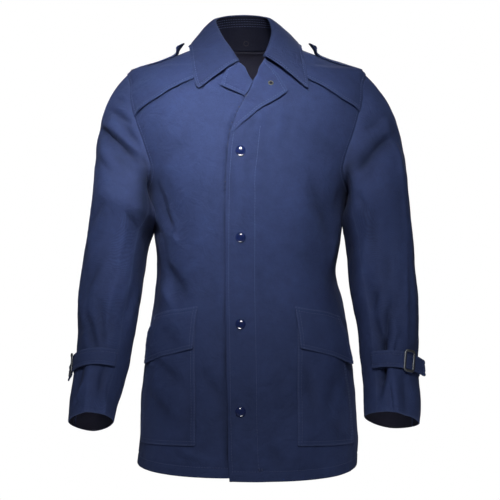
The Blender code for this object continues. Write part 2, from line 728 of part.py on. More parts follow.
def make_flap(side, material):
    top, low = on_body(mirrored(FLAP_TOP, side)), on_body(mirrored(FLAP_BOTTOM[side], side))
    columns, rows = FLAP_GRID
    grid = patch(
        curve(low, columns), curve(top, columns), curve([low[0], top[0]], rows), curve([low[-1], top[-1]], rows)
    )
    hang = np.linspace(1, 0, rows)[:, None]
    away = np.linspace(0, 1, columns)
    flare = 6 if side == "left" else 2
    lift = LAY + 2.9 * ease(hang / 0.4) + 2.0 * hang + flare * hang * away**6
    return body_sheet(f"flap_{side}", grid[..., 0], grid[..., 1], lift, DOUBLE, material)


def over_shoulder(x, y):
    """Turn and run on top of the shoulder at x, and at y forwards (negative) or back of the ridge."""
    turns, runs = np.zeros_like(x), np.zeros_like(x)
    for k in np.ndindex(x.shape):
        run = ridge_run(x[k]) - np.linspace(0, 110, 160)
        turn = turn_at(np.full_like(run, x[k]), run)
        depth = np.where(y[k] < 0, level(run, "front"), level(run, "back"))
        away = depth * np.abs(np.sin(turn)) ** (2 / level(run, "round"))
        away = np.maximum.accumulate(away)
        runs[k] = np.interp(abs(y[k]), away, run)
        turns[k] = np.interp(abs(y[k]), away, turn) * (1 if y[k] < 0 else -1)
    return turns, runs


def make_shoulder_strap(side, material):
    rows, columns = 13, 7
    along = np.linspace(0, 1, rows)[:, None]
    across = np.linspace(-0.5, 0.5, columns)[None, :]
    width = SHOULDER_STRAP[0] + (SHOULDER_STRAP[1] - SHOULDER_STRAP[0]) * along
    point = 12 * ease((along - 0.8) / 0.2) * (2 * np.abs(across)) ** 1.5
    x = 212 - 105 * along + point
    y = across * width
    turn, run = over_shoulder(x + 0 * y, y + 0 * x)
    if side == "right":
        turn = math.pi - turn
    rise = 15 * ease((along - 0.7) / 0.34) ** 1.3
    lift = 2 * LAY + CLOTH + 2.3 + 1.6 * ease((0.4 - along) / 0.4) + rise + 0 * turn
    return body_sheet(f"shoulder_strap_{side}", turn, run, lift, DOUBLE, material)


def make_neck_lining(material):
    x = np.linspace(-74, 74, 10)
    heights = np.linspace(-84, 10, 6)
    run = np.repeat(run_at(heights)[:, None], len(x), axis=1)
    turn = -turn_at(np.repeat(x[None, :], len(heights), axis=0), run)
    return body_sheet("neck_lining", turn, run, -2 * CLOTH - LAY, CLOTH, material)


def make_button(number, front, material):
    """A domed cap on a flat rim, turned round the line that stands out of the front."""
    height = BUTTON_TOP - BUTTON_PITCH * number
    found, place, way, _ = front.ray_cast((BUTTON_X / 1000, -1, height / 1000), (0, 1, 0))
    way = np.array(way) if found else np.array([0, -1.0, 0])
    foot = np.array(place) * 1000 + way * SEAM
    across = unit(np.cross(way, [0, 0, 1.0]))
    up = np.cross(across, way)
    profile = [(BUTTON_RADIUS - 1, 0), (BUTTON_RADIUS, 0.8), (BUTTON_RADIUS - 0.4, 2), (6.4, 3.4), (3.4, 4.2)]
    sides = BUTTON_SIDES
    points = []
    for radius, out in profile:
        for k in range(sides):
            a = 2 * math.pi * k / sides
            points.append(foot + across * radius * math.cos(a) + up * radius * math.sin(a) + way * out)
    points.append(foot + way * BUTTON_HEIGHT)
    faces = [tuple(range(sides))]
    for ring in range(len(profile) - 1):
        for k in range(sides):
            n = (k + 1) % sides
            faces.append((ring * sides + k, ring * sides + n, (ring + 1) * sides + n, (ring + 1) * sides + k))
    last = (len(profile) - 1) * sides
    faces += [(last + k, last + (k + 1) % sides, len(points) - 1) for k in range(sides)]
    return add_mesh(f"button_{number + 1}", points, faces, material)


# ---------------------------------------------------------------- cuff straps

STRAP_HEIGHT = {"right": -569, "left": -572}
BUCKLE_TURN = {"right": 10, "left": 56}
BUCKLE_LIFT = 7.2
STRAP_START = {"right": 126, "left": 131}


def sleeve_point(side, turn, height, lift):
    """A point over the lower sleeve at a turn and a height of its middle line, with the sleeve's folds."""
    heights = [row.height for row in SLEEVES[side]]
    along = np.interp(-np.asarray(height, float), [-h for h in heights], np.linspace(0, 1, len(heights)))
    turn, along = np.broadcast_arrays(np.asarray(turn, float), along)
    here = sleeve_ring(side, along, turn)
    round_it = sleeve_ring(side, along, turn + 1) - sleeve_ring(side, along, turn - 1)
    down = sleeve_ring(side, along + 0.01, turn) - sleeve_ring(side, along - 0.01, turn)
    normal = unit(np.cross(down, round_it)) * -side_sign(side)
    relief = fold_relief(SLEEVE_FOLDS[side], turn % 360, here[..., 2], SLEEVE_RADIUS)
    lifted = np.maximum(relief, -1) + lift
    return here + normal * np.expand_dims(lifted, -1), normal


def strap_grid(side, turns, lift, thickness, width, drop=0.0):
    """A band round the sleeve as an outer and an inner grid."""
    up = np.linspace(-0.5, 0.5, 4)[:, None] * width
    heights = STRAP_HEIGHT[side] + up - drop
    outer, _ = sleeve_point(side, turns[None, :], heights, lift + thickness)
    inner, _ = sleeve_point(side, turns[None, :], heights, lift)
    return outer, inner


def make_cuff_strap(side, material):
    """The strap from the front seam over the top sleeve, through the buckle, with a free tail."""
    buckle = BUCKLE_TURN[side]
    turns = np.linspace(STRAP_START[side], buckle - 36, 19)
    past = np.clip((buckle - 8 - turns) / 26, 0, 1)
    lift = CLOTH + 1.5 + 9 * past**1.6
    drop = 4 * past**1.4
    outer, inner = strap_grid(side, turns, lift, DOUBLE, STRAP_WIDTH, drop)
    return sheet(f"cuff_strap_{side}", trimmed(outer), trimmed(inner), material)


def make_cuff_tab(side, material):
    """The short tab that is sewn in the back seam and holds the buckle."""
    turns = np.linspace(BUCKLE_TURN[side] + 6, BACK_SEAM - 357, 9)
    outer, inner = strap_grid(side, turns, 0.8, CLOTH, STRAP_WIDTH - 6)
    return sheet(f"cuff_tab_{side}", trimmed(outer), trimmed(inner), material)


def make_buckle(side, material):
    """A round-cornered frame lying on the strap."""
    middle, way = sleeve_point(side, float(BUCKLE_TURN[side]), float(STRAP_HEIGHT[side]), 0)
    ahead, _ = sleeve_point(side, BUCKLE_TURN[side] + 2.0, float(STRAP_HEIGHT[side]), 0)
    round_it = unit(ahead - middle)
    way = unit(way - round_it * (way @ round_it))
    along = np.cross(round_it, way)
    centre = middle + way * BUCKLE_LIFT
    half_round, half_along = BUCKLE[0] / 2 - BUCKLE_BAR / 2, BUCKLE[1] / 2 - BUCKLE_BAR / 2
    path = []
    for quarter, (sx, sy) in enumerate(((1, 1), (-1, 1), (-1, -1), (1, -1))):
        for k in range(4):
            a = math.pi / 2 * (quarter + k / 3)
            px = sx * (half_round - BUCKLE_CORNER) + BUCKLE_CORNER * math.cos(a)
            path.append((px, sy * (half_along - BUCKLE_CORNER) + BUCKLE_CORNER * math.sin(a)))
    angles = np.linspace(0, 2 * math.pi, 8, endpoint=False)
    section = [(BUCKLE_BAR / 2 * math.cos(a), BUCKLE_DEPTH / 2 * math.sin(a)) for a in angles]
    points = []
    for k, (px, py) in enumerate(path):
        ahead_x, ahead_y = path[(k + 1) % len(path)]
        behind_x, behind_y = path[k - 1]
        way_x, way_y = unit(np.array([ahead_y - behind_y, behind_x - ahead_x]))
        for out, up in section:
            points.append(centre + round_it * (px + way_x * out) + along * (py + way_y * out) + way * up)
    n, m = len(path), len(section)
    faces = []
    for i in range(n):
        for j in range(m):
            k = (i + 1) % n
            faces.append((i * m + j, i * m + (j + 1) % m, k * m + (j + 1) % m, k * m + j))
    return add_mesh(f"buckle_{side}", points, faces, material)


# ---------------------------------------------------------------- the coat


def make_coat():
    navy = finish("navy_gabardine", (0.036, 0.052, 0.137), 0.8)
    stand = finish("navy_undercollar", (0.022, 0.030, 0.075), 0.85)
    lining = finish("dark_lining", (0.010, 0.011, 0.020), 0.7)
    cap = finish("navy_button", (0.010, 0.020, 0.090), 0.15)
    metal = finish("gunmetal", (0.12, 0.12, 0.13), 0.35, 1.0)
    make_back(navy)
    fronts = {}
    for side in ("left", "right"):
        fronts[side] = make_front(side, navy)
        make_yoke(side, navy)
        make_sleeve(side, navy)
        make_lapel(side, navy)
        make_pocket(side, navy)
        make_flap(side, navy)
        make_shoulder_strap(side, navy)
        make_cuff_strap(side, navy)
        make_cuff_tab(side, navy)
        make_buckle(side, metal)
    make_collar(navy, stand)
    make_neck_lining(lining)
    for number in range(BUTTON_COUNT):
        make_button(number, fronts["left"], cap)


for old in list(bpy.data.objects):
    bpy.data.objects.remove(old)
make_coat()
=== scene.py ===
"""The looks of a navy military parka on no wearer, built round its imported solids.

Tables and points are in millimetres in the coat's own frame, and meshes in metres: +Z up, the front faces -Y,
the wearer's left is +X. Each piece of cloth is a thin shell on its solid's form, with its creases, edges and
rows of stitching.
"""

from collections import namedtuple
import math

import bmesh
import bpy
import numpy as np
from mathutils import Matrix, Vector
from mathutils.kdtree import KDTree


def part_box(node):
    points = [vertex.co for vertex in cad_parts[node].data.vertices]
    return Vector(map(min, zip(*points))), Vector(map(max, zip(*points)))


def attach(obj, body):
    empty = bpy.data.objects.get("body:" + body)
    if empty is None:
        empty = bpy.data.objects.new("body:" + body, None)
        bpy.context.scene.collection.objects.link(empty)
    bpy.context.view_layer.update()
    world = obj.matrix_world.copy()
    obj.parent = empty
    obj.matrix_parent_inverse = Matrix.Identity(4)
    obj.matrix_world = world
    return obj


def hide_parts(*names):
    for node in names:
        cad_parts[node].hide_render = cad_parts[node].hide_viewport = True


# ---------------------------------------------------------------- driving sizes, mm
CLOTH = 1.6  # thickness of one piece of cloth
DOUBLE = 2.0  # thickness of flaps, straps and shoulder straps, which are two layers
SEAM = 0.3  # gap between two pieces at a seam
LAY = 0.9  # gap between a panel and what is sewn on it
HEM_SIDE = -749  # height of the hem at the side seams and round the back
HEM_DIP_LEFT = 15  # how much lower the left front hangs at the middle
HEM_DIP_RIGHT = 9
FRONT_EDGE = -35  # x of the left front's edge, which lies over the right front
UNDERLAP = 13  # x of the right front's edge, hidden under the left front
OVERLAP_RISE = 3.4  # how far the left front stands out where it lies on the right front
BUTTON_COUNT = 4
BUTTON_X = -10
BUTTON_TOP = -189
BUTTON_PITCH = 151
BUTTON_RADIUS = 9
BUTTON_HEIGHT = 4.5
BUTTON_SIDES = 16
STRAP_WIDTH = 28
BUCKLE = (23, 40)  # outer size round the sleeve and along it
BUCKLE_BAR = 4.5
BUCKLE_DEPTH = 3
BUCKLE_CORNER = 4.5
SHOULDER_STRAP = (46, 38)  # width at the sleeve and near the free end

# Rings of the body from the hem to the neck: half width, how far the ring's middle lies to the wearer's left,
# depth forwards and back of the middle, where the middle lies, and the ring's roundness across and through
# (2 is an ellipse, more is squarer).
Level = namedtuple("Level", "height half shift front back middle flat round")
BODY = [
    Level(-810, 202, 1, 153, 143, 0, 2.5, 2.0),
    Level(-748, 201, 2, 152, 142, 0, 2.5, 2.0),
    Level(-700, 199, 4, 151, 140, 0, 2.5, 2.0),
    Level(-637, 196, 4, 148, 138, 0, 2.5, 2.0),
    Level(-578, 190, 3, 143, 134, 0, 2.5, 2.0),
    Level(-520, 184, 3, 137, 129, 0, 2.5, 2.0),
    Level(-461, 174, 3, 130, 124, 0, 2.5, 2.0),
    Level(-403, 165, 0, 125, 120, 0, 2.5, 2.0),
    Level(-344, 170, 2, 127, 122, 0, 2.5, 2.0),
    Level(-262, 184, 1, 134, 130, 0, 2.5, 2.0),
    Level(-200, 206, 0, 136, 133, 2, 2.4, 2.0),
    Level(-140, 224, 0, 133, 130, 4, 2.3, 1.95),
    Level(-88, 226, 0, 121, 121, 8, 2.2, 1.8),
    Level(-55, 222, 0, 109, 112, 11, 1.95, 1.55),
    Level(-38, 216, 0, 100, 105, 12, 1.8, 1.45),
    Level(-29, 183, 0, 96, 100, 12, 1.7, 1.4),
    Level(-14, 139, 0, 87, 93, 12, 1.7, 1.4),
    Level(0, 102, 0, 76, 85, 12, 1.75, 1.5),
    Level(8, 82, 0, 68, 78, 12, 1.9, 1.7),
    Level(14, 66, 0, 60, 70, 12, 2.0, 2.0),
]
ARMPIT = -262
SHOULDER_TIP = -38

# The armhole seam: how far round from the side it lies, in degrees, in front and behind.
Seam = namedtuple("Seam", "height front back")
ARMHOLE = [
    Seam(-262, 0, 0),
    Seam(-258, 10, 8),
    Seam(-248, 20, 16.5),
    Seam(-235, 28, 22),
    Seam(-212, 34, 26),
    Seam(-185, 34.3, 26),
    Seam(-156, 33, 24.5),
    Seam(-127, 29, 22),
    Seam(-98, 24.3, 20),
    Seam(-71, 21, 18),
    Seam(-51, 13.5, 12),
    Seam(-38, 0, 0),
]

# Where each front ends towards the middle: the edge, then up the roll line of the lapel to the neck.
Edge = namedtuple("Edge", "height left right")
FRONT_EDGES = [
    Edge(-800, -27, 13),
    Edge(-708, -32, 13),
    Edge(-536, -35, 13),
    Edge(-400, -37, 13),
    Edge(-250, -36, 13),
    Edge(-188, -32, 13),
    Edge(-156, -28, 13),
    Edge(-121, -15, 13),
    Edge(-99, -2.5, 14),
    Edge(-66, 12.5, 12.5),
    Edge(-48, 20.5, -0.5),
    Edge(-28, 29, -14.5),
    Edge(-8, 38.5, -31.5),
    Edge(5, 47, -46),
    Edge(14, 56, -56),
]

# Rings of each sleeve below its cap: outer and inner x, where its middle lies, half its depth, how far it leans
# forward and how far its outer side is raised, in degrees, and how square its section is.
Ring = namedtuple("Ring", "height outer inner middle depth lean roll square")
SLEEVES = {
    "right": [
        Ring(-292, 280, 160, -15, 84, 4, 18, 2.8),
        Ring(-344, 289, 176, -15, 77, 9, 6, 2.3),
        Ring(-402, 298, 184, -25, 71, 14, 0, 2.1),
        Ring(-459, 303, 192, -42, 67, 18, 0, 2.1),
        Ring(-516, 303, 201, -62, 63, 21, 0, 2.0),
        Ring(-571, 304, 210, -84, 59, 22, 0, 1.9),
        Ring(-626, 310, 222, -106, 57, 23, -1, 1.8),
        Ring(-663, 312, 231, -121, 55, 24, -1.5, 1.65),
    ],
    "left": [
        Ring(-292, 296, 172, -10, 83, 4, 18, 2.4),
        Ring(-344, 302, 180, -13, 76, 9, 6, 2.2),
        Ring(-402, 306, 185, -25, 72, 13, 0, 2.1),
        Ring(-459, 309, 192, -42, 69, 16, 0, 2.1),
        Ring(-516, 309, 200, -60, 66, 18, -2, 2.0),
        Ring(-571, 305, 204, -80, 63, 19, -3, 1.9),
        Ring(-626, 307, 206, -100, 61, 20, -5, 1.8),
        Ring(-661, 304, 207, -113, 59, 20, -7.5, 1.65),
    ],
}
CAP_ROWS = 6
ARM_ROWS = 13
FRONT_SEAM = 132  # degrees round the sleeve, from its outer side over the front
BACK_SEAM = 325

# The collar, from its right front end round the neck to its left: the fold at its top, its outer edge, and the
# seam that joins its stand to the neck.
Turn = namedtuple("Turn", "fold edge neck")
COLLAR = [
    Turn((-14, -90, -27), (-87, -107, -80), (-14, -84, -27)),
    Turn((-27, -71, -5), (-93, -93, -57), (-29, -66, -9)),
    Turn((-40, -44, 16), (-99, -61, -25), (-45.5, -37, 8.5)),
    Turn((-52, -13, 40), (-104, -20, 4), (-61.5, -14, 15)),
    Turn((-59, 22, 62), (-105, 18, 11), (-70, 18, 13.8)),
    Turn((-46, 56, 73), (-84, 74, 9), (-50, 61, 13.8)),
    Turn((-8, 74, 78), (-6, 104, 3), (-2, 83, 13.8)),
    Turn((30, 58, 74), (76, 77, 8), (48, 62, 13.8)),
    Turn((43, 24, 64), (99, 18, 13), (70, 18, 13.8)),
    Turn((48, -13, 39), (101, -20, 4), (62.5, -13, 14.2)),
    Turn((44, -44, 16), (104, -53, -20), (52.5, -35, 7)),
    Turn((37, -69, -5), (108, -86, -51), (38, -64, -8)),
    Turn((32, -84, -17), (112, -101, -81), (33, -78, -17)),
]
NECK_MIDDLE = (0, 5, 0)
LEAF_BOW = 4.5  # how far the leaf's middle stands out of the straight line from fold to edge
LEAF_LIFT = 6  # how far the leaf's outer face stays above the body's
LEAF_STEPS = [0, 0.08, 0.22, 0.4, 0.6, 0.8, 1]
COLLAR_COLUMNS = 34
STAND_ROWS = 5
STAND_INSET = 3  # columns of the collar at each end that have no stand
STAND_GAP = 2.2  # between the outer faces of leaf and stand at the fold

# Large folds: two ends round the piece in degrees and up it, half the fold's width, and its height (a trough is
# negative). On the body 0 is the wearer's left side and 90 the middle of the front.
Fold = namedtuple("Fold", "turn1 height1 turn2 height2 width rise")
BODY_FOLDS = [
    Fold(142, -215, 128, -330, 22, -4),
    Fold(150, -380, 136, -440, 16, -4),
    Fold(158, -330, 160, -420, 16, 3),
    Fold(120, -580, 103, -650, 22, -3),
    Fold(44, -230, 30, -360, 20, -4),
    Fold(20, -330, 18, -430, 16, 3),
    Fold(60, -590, 75, -660, 22, -3),
    Fold(-35, -230, -50, -400, 24, -4),
    Fold(-145, -230, -128, -400, 24, -4),
    Fold(-90, -330, -88, -560, 30, 3),
    Fold(-70, -420, -62, -700, 26, -4),
    Fold(-112, -440, -118, -700, 26, -4),
]
SLEEVE_FOLDS = {
    "right": [
        Fold(30, -104, 92, -140, 10, -5),
        Fold(28, -124, 98, -166, 10, -5),
        Fold(20, -150, 92, -196, 11, -4),
        Fold(60, -260, 130, -300, 16, 4),
        Fold(120, -340, 70, -460, 14, -4),
        Fold(28, -290, 44, -370, 14, 4),
        Fold(20, -420, 50, -510, 14, 4),
        Fold(150, -420, 130, -500, 14, -4),
        Fold(300, -320, 240, -370, 16, -5),
        Fold(310, -380, 250, -420, 14, -5),
        Fold(290, -450, 250, -520, 14, 4),
        Fold(250, -130, 300, -200, 16, -4),
    ],
    "left": [
        Fold(20, -150, 90, -205, 12, -5),
        Fold(36, -130, 38, -520, 9, 4),
        Fold(75, -300, 80, -400, 12, -4),
        Fold(105, -270, 110, -360, 13, 4),
        Fold(85, -430, 70, -500, 12, -5),
        Fold(125, -400, 120, -500, 12, -4),
        Fold(82, -520, 86, -566, 8, -6),
        Fold(100, -596, 94, -640, 9, -6),
        Fold(300, -320, 240, -370, 16, -5),
        Fold(310, -380, 250, -420, 14, -5),
        Fold(280, -460, 240, -530, 14, 4),
        Fold(250, -130, 300, -200, 16, -4),
    ],
}
SLEEVE_RADIUS = 68  # turns the degrees of a sleeve fold into a length
BODY_RADIUS = 165

# Outlines on the fronts as (x, height): the left side's, mirrored for the right where both are alike.
POCKET = {"inner": (88, 88), "outer": (168, 190), "top": -500, "bottom": (-703, -708)}
FLAP_TOP = [(84, -460), (110, -465), (139, -470), (168, -480)]
FLAP_BOTTOM = {
    "left": [(92, -534), (118, -541), (150, -551), (180, -568)],
    "right": [(91, -535), (116, -542), (148, -552), (176, -567)],
}
YOKE_EDGE = {
    "left": [(84, -50), (111, -62), (131, -71), (149, -82), (167, -93), (185, -102)],
    "right": [(76, -52), (93, -60), (109, -67), (136, -80), (159, -94), (181, -107)],
}
YOKE_SIDE = {"left": -114, "right": -124}  # where the yoke's edge meets the armhole
YOKE_HIDDEN = [(84, -38), (84, -24), (85, -12), (87, -4)]  # its edge under the collar
YOKE_TOP_X = 90  # where it ends on the shoulder's ridge
YOKE_GRID = (12, 10)  # columns and rows of points
LAPEL_GRID = (6, 12)
POCKET_GRID = (9, 10)
FLAP_GRID = (9, 6)
LAPEL_FOLD = {
    "left": [(-27, -155), (-15, -122), (-2.5, -99), (12.5, -67), (21, -47), (33, -19)],
    "right": [(12, -64), (-14.5, -29)],
}
LAPEL_EDGE = {
    "left": [(-22, -157), (-4, -139), (20, -120), (38, -108), (56, -97), (73, -84)],
    "right": [(-4, -92), (-29, -81), (-45, -74)],
}
LAPEL_TOP = {
    "left": [(33, -19), (47, -42), (54, -50), (62, -65), (73, -84)],
    "right": [(-14.5, -29), (-30, -35), (-38, -50), (-45, -74)],
}
ARMHOLE_ROWS = [-262, -256, -244, -222, -194, -164, -132, -100, -70, -51, -38]
TOP_ROWS = [-35, -31, -22, -10, 2, 13]
STRAP_HEIGHT = {"right": -569, "left": -572}
BUCKLE_TURN = {"right": 10, "left": 56}
BUCKLE_LIFT = 7.2
STRAP_START = {"right": 126, "left": 131}

# ---------------------------------------------------------------- sizes that only the looks need, mm
GRID = 3.6  # spacing of a shell's points
NEAR_EDGE = np.array([0, 0.4, 1.0, 2.0, 3.4])  # extra points beside an edge, so that it can be rounded
EDGE_STITCH = 6.5  # how far a row of topstitching lies from its edge
CLOSE_STITCH = 2.2  # the outer one of two rows
STITCH = (3.8, 0.8)  # length and thickness of one stitch
STITCH_PITCH = 5.0
HEM_DEPTH = 18
PLACKET_WIDTH = 52
TAIL = {"right": 15, "left": 9}  # how far the cuff strap's tail stands off the sleeve
BARTACK = (25, -744)  # x and height of the bar tack at the foot of the placket
SHELL = 1.3  # thickness of a shell of single cloth
ALLOWANCE = 3  # width of a seam allowance

# Creases as seen straight from the front or the back: two ends, half the crease's width and its height (a trough
# is negative). A crease is steeper on the side that lies left of its way from the first end to the second.
Crease = namedtuple("Crease", "x1 height1 x2 height2 width rise")
BODY_CREASES = {
    "front": [
        Crease(-166, -236, -144, -300, 13, -2.4),
        Crease(-178, -350, -176, -480, 22, -4.0),
        Crease(180, -350, 178, -480, 22, -3.6),
        Crease(-150, -290, -134, -326, 8, -2.0),
        Crease(-186, -300, -150, -345, 8, -1.8),
        Crease(-134, -330, -120, -352, 6, 1.2),
        Crease(-140, -392, -108, -442, 11, -2.2),
        Crease(-158, -420, -128, -470, 10, 1.6),
        Crease(-82, -566, -40, -628, 13, -1.4),
        Crease(-40, -590, -34, -700, 9, -1.2),
        Crease(6, -590, 12, -690, 8, -1.0),
        Crease(-4, -270, -6, -330, 7, -1.0),
        Crease(-30, -210, -22, -300, 7, -1.0),
        Crease(34, -200, 30, -290, 9, -0.8),
        Crease(14, -128, 4, -160, 5, -1.2),
        Crease(24, -120, 18, -168, 5, 0.9),
        Crease(41, -116, 34, -162, 7, -1.1),
        Crease(62, -110, 50, -170, 7, 1.0),
        Crease(80, -114, 66, -184, 9, -0.9),
        Crease(1, -204, -5, -262, 5, -1.0),
        Crease(-20, -208, -18, -252, 4, 0.6),
        Crease(13, -206, 10, -292, 5, 0.7),
        Crease(-60, -410, -48, -520, 12, -0.9),
        Crease(20, -380, 26, -470, 10, -0.8),
        Crease(112, -222, 154, -352, 13, -2.6),
        Crease(160, -330, 150, -400, 10, 1.6),
        Crease(168, -250, 160, -300, 8, -1.8),
        Crease(90, -360, 132, -404, 15, -1.2),
        Crease(-110, -170, -150, -210, 14, -1.2),
        Crease(108, -150, 168, -196, 14, -1.2),
        Crease(52, -560, 66, -650, 14, -1.2),
        Crease(-168, -556, -112, -600, 13, -1.6),
        Crease(-182, -610, -128, -668, 14, -1.4),
        Crease(-96, -600, -104, -690, 12, -1.3),
        Crease(-150, -500, -120, -536, 12, -1.0),
        Crease(104, -560, 122, -660, 13, -1.6),
        Crease(168, -580, 140, -640, 13, -1.5),
        Crease(150, -660, 184, -700, 12, -1.3),
        Crease(116, -486, 140, -530, 12, -1.0),
        Crease(40, -700, 70, -742, 9, -0.9),
        Crease(-120, -712, -60, -728, 7, 0.9),
    ],
    "back": [
        Crease(-40, -60, -150, -90, 16, -1.6),
        Crease(46, -64, 150, -86, 16, -1.6),
        Crease(-150, -150, -120, -260, 13, -2.4),
        Crease(146, -140, 126, -250, 13, -2.4),
        Crease(-110, -300, -30, -360, 17, -2.2),
        Crease(104, -330, 20, -392, 17, -2.2),
        Crease(-130, -400, -40, -440, 14, -1.8),
        Crease(120, -430, 34, -470, 15, -1.8),
        Crease(-60, -480, -80, -700, 18, -2.0),
        Crease(8, -520, 2, -730, 20, 1.8),
        Crease(74, -500, 96, -710, 18, -2.0),
        Crease(-140, -560, -150, -700, 14, -1.4),
    ],
}
SLEEVE_CREASES = {
    "right": {
        "front": [
            Crease(-248, -108, -198, -138, 8, -4.2),
            Crease(-230, -132, -188, -172, 7, -4.4),
            Crease(-268, -142, -226, -168, 10, -5.6),
            Crease(-234, -163, -188, -204, 9, -5.6),
            Crease(-244, -126, -200, -158, 6, 1.8),
            Crease(-240, -148, -192, -188, 6, 1.6),
            Crease(-240, -186, -204, -224, 10, -2.2),
            Crease(-176, -210, -170, -330, 14, -1.0),
            Crease(-178, -320, -184, -420, 14, -2.2),
            Crease(-243, -590, -247, -664, 6, 1.8),
            Crease(-281, -590, -302, -630, 6, 2.0),
            Crease(-240, -86, -214, -96, 7, -2.0),
            Crease(-276, -190, -240, -226, 9, -1.8),
            Crease(-215, -306, -232, -416, 8, 1.8),
            Crease(-212, -300, -190, -330, 8, -2.2),
            Crease(-232, -416, -243, -474, 7, 1.6),
            Crease(-254, -278, -282, -320, 8, -2.0),
            Crease(-258, -376, -298, -462, 9, -2.2),
            Crease(-246, -340, -284, -392, 9, 1.5),
            Crease(-278, -470, -300, -516, 9, -1.5),
            Crease(-222, -470, -258, -530, 11, -1.2),
            Crease(-284, -540, -298, -630, 7, -2.6),
            Crease(-246, -560, -252, -606, 7, -2.6),
            Crease(-286, -470, -262, -538, 8, -2.4),
            Crease(-256, -452, -250, -532, 8, -2.2),
            Crease(-273, -560, -277, -650, 7, 1.4),
            Crease(-240, -590, -250, -640, 8, -1.2),
        ],
        "back": [
            Crease(-200, -140, -250, -210, 10, -2.2),
            Crease(-196, -240, -262, -280, 11, -2.0),
            Crease(-190, -340, -280, -370, 11, -3.0),
            Crease(-194, -372, -270, -410, 10, -2.4),
            Crease(-204, -430, -286, -440, 10, -1.8),
            Crease(-230, -520, -290, -590, 12, -1.4),
        ],
    },
    "left": {
        "front": [
            Crease(262, -156, 226, -188, 12, -4.8),
            Crease(232, -182, 192, -222, 12, -5.0),
            Crease(252, -118, 212, -146, 9, -2.6),
            Crease(240, -196, 204, -236, 10, -2.4),
            Crease(176, -210, 170, -330, 14, -1.0),
            Crease(178, -320, 184, -420, 14, -2.2),
            Crease(272, -182, 280, -254, 5, 1.5),
            Crease(280, -254, 285, -330, 5, 1.5),
            Crease(285, -330, 281, -530, 5, 1.4),
            Crease(226, -280, 224, -364, 9, -2.0),
            Crease(248, -366, 252, -420, 10, -1.6),
            Crease(212, -330, 206, -410, 8, 1.2),
            Crease(230, -420, 220, -470, 8, -2.0),
            Crease(262, -440, 250, -510, 10, -1.2),
            Crease(252, -462, 239, -540, 8, -4.4),
            Crease(226, -486, 236, -540, 7, -3.0),
            Crease(239, -562, 230, -612, 7, -4.0),
            Crease(239, -516, 240, -545, 3.5, -4.5),
            Crease(240, -556, 236, -590, 3.5, -5.0),
            Crease(254, -568, 257, -640, 9, 2.2),
            Crease(262, -500, 250, -560, 7, 1.6),
            Crease(273, -566, 279, -655, 9, -2.6),
            Crease(196, -260, 214, -300, 8, -1.8),
        ],
        "back": [
            Crease(204, -150, 250, -204, 10, -2.2),
            Crease(198, -250, 264, -286, 11, -2.0),
            Crease(196, -336, 284, -362, 11, -3.0),
            Crease(200, -380, 272, -404, 10, -2.4),
            Crease(210, -424, 288, -446, 10, -1.8),
            Crease(236, -530, 286, -600, 12, -1.4),
        ],
    },
}
# Painted shade between the sleeves and the body: troughs that only darken the cloth's colour through the fold attribute
# and leave its shape alone.
PAINTED_SHADE_CREASES = [
    Crease(-180, -196, -174, -330, 12, -15),
    Crease(-178, -300, -188, -460, 12, -8),
    Crease(-158, -290, -152, -440, 12, -5),
    Crease(181, -196, 176, -330, 12, -15),
    Crease(180, -300, 188, -460, 12, -8),
    Crease(162, -290, 156, -440, 12, -5),
]
# Small unevenness of the cloth: the size of its waves and their height.
Unevenness = namedtuple("Unevenness", "size rise")
UNEVEN = [Unevenness(130, 1.0), Unevenness(58, 0.55), Unevenness(27, 0.2)]
CREASE_DEPTH = {"body": 2.9, "sleeve": 2.2}

# The camera of the photograph
CAMERA_PLACE = (0.0064, -2.8, -0.362)
CAMERA_LENS = 110.16

# ---------------------------------------------------------------- curves


def smooth(places, values, at):
    """The value at each place of the smooth curve through the rows, which never swings past them."""
    places, values = np.asarray(places, float), np.asarray(values, float)
    step = np.diff(values) / np.diff(places)
    product, total = step[:-1] * step[1:], step[:-1] + step[1:]
    inner = np.where(product > 0, 2 * product / np.where(total == 0, 1, total), 0)
    slope = np.concatenate([step[:1], inner, step[-1:]])
    i = np.clip(np.searchsorted(places, at) - 1, 0, len(places) - 2)
    span = places[i + 1] - places[i]
    u = np.clip((at - places[i]) / span, 0, 1)
    ends = values[i] * (1 + 2 * u) * (1 - u) ** 2 + values[i + 1] * u * u * (3 - 2 * u)
    return ends + span * u * (1 - u) * (slope[i] * (1 - u) - slope[i + 1] * u)


def spline(points, place):
    """The smooth curve through the points, where place counts from each point to the next."""
    points = np.asarray(points, float)
    padded = np.vstack([2 * points[0] - points[1], points, 2 * points[-1] - points[-2]])
    i = np.minimum(place.astype(int), len(points) - 2)
    u = (place - i)[:, None]
    a, b, c, d = padded[i], padded[i + 1], padded[i + 2], padded[i + 3]
    return b + u / 2 * (c - a + u * (2 * a - 5 * b + 4 * c - d + u * (3 * b - a - 3 * c + d)))


def curve(points, places):
    """A smooth curve through the points, at places from 0 to 1 along it."""
    last = len(points) - 1
    return even(spline(points, np.linspace(0, last, 24 * last + 1)), places)


def even(line, places):
    """The points at these places from 0 to 1 along a line."""
    along = np.concatenate([[0], np.cumsum(np.linalg.norm(np.diff(line, axis=0), axis=1))])
    wanted = places * along[-1]
    return np.stack([np.interp(wanted, along, line[:, k]) for k in range(line.shape[1])], axis=1)


def ease(value):
    value = np.clip(value, 0, 1)
    return value * value * (3 - 2 * value)


def unit(vectors):
    return vectors / np.maximum(np.linalg.norm(vectors, axis=-1, keepdims=True), 1e-9)


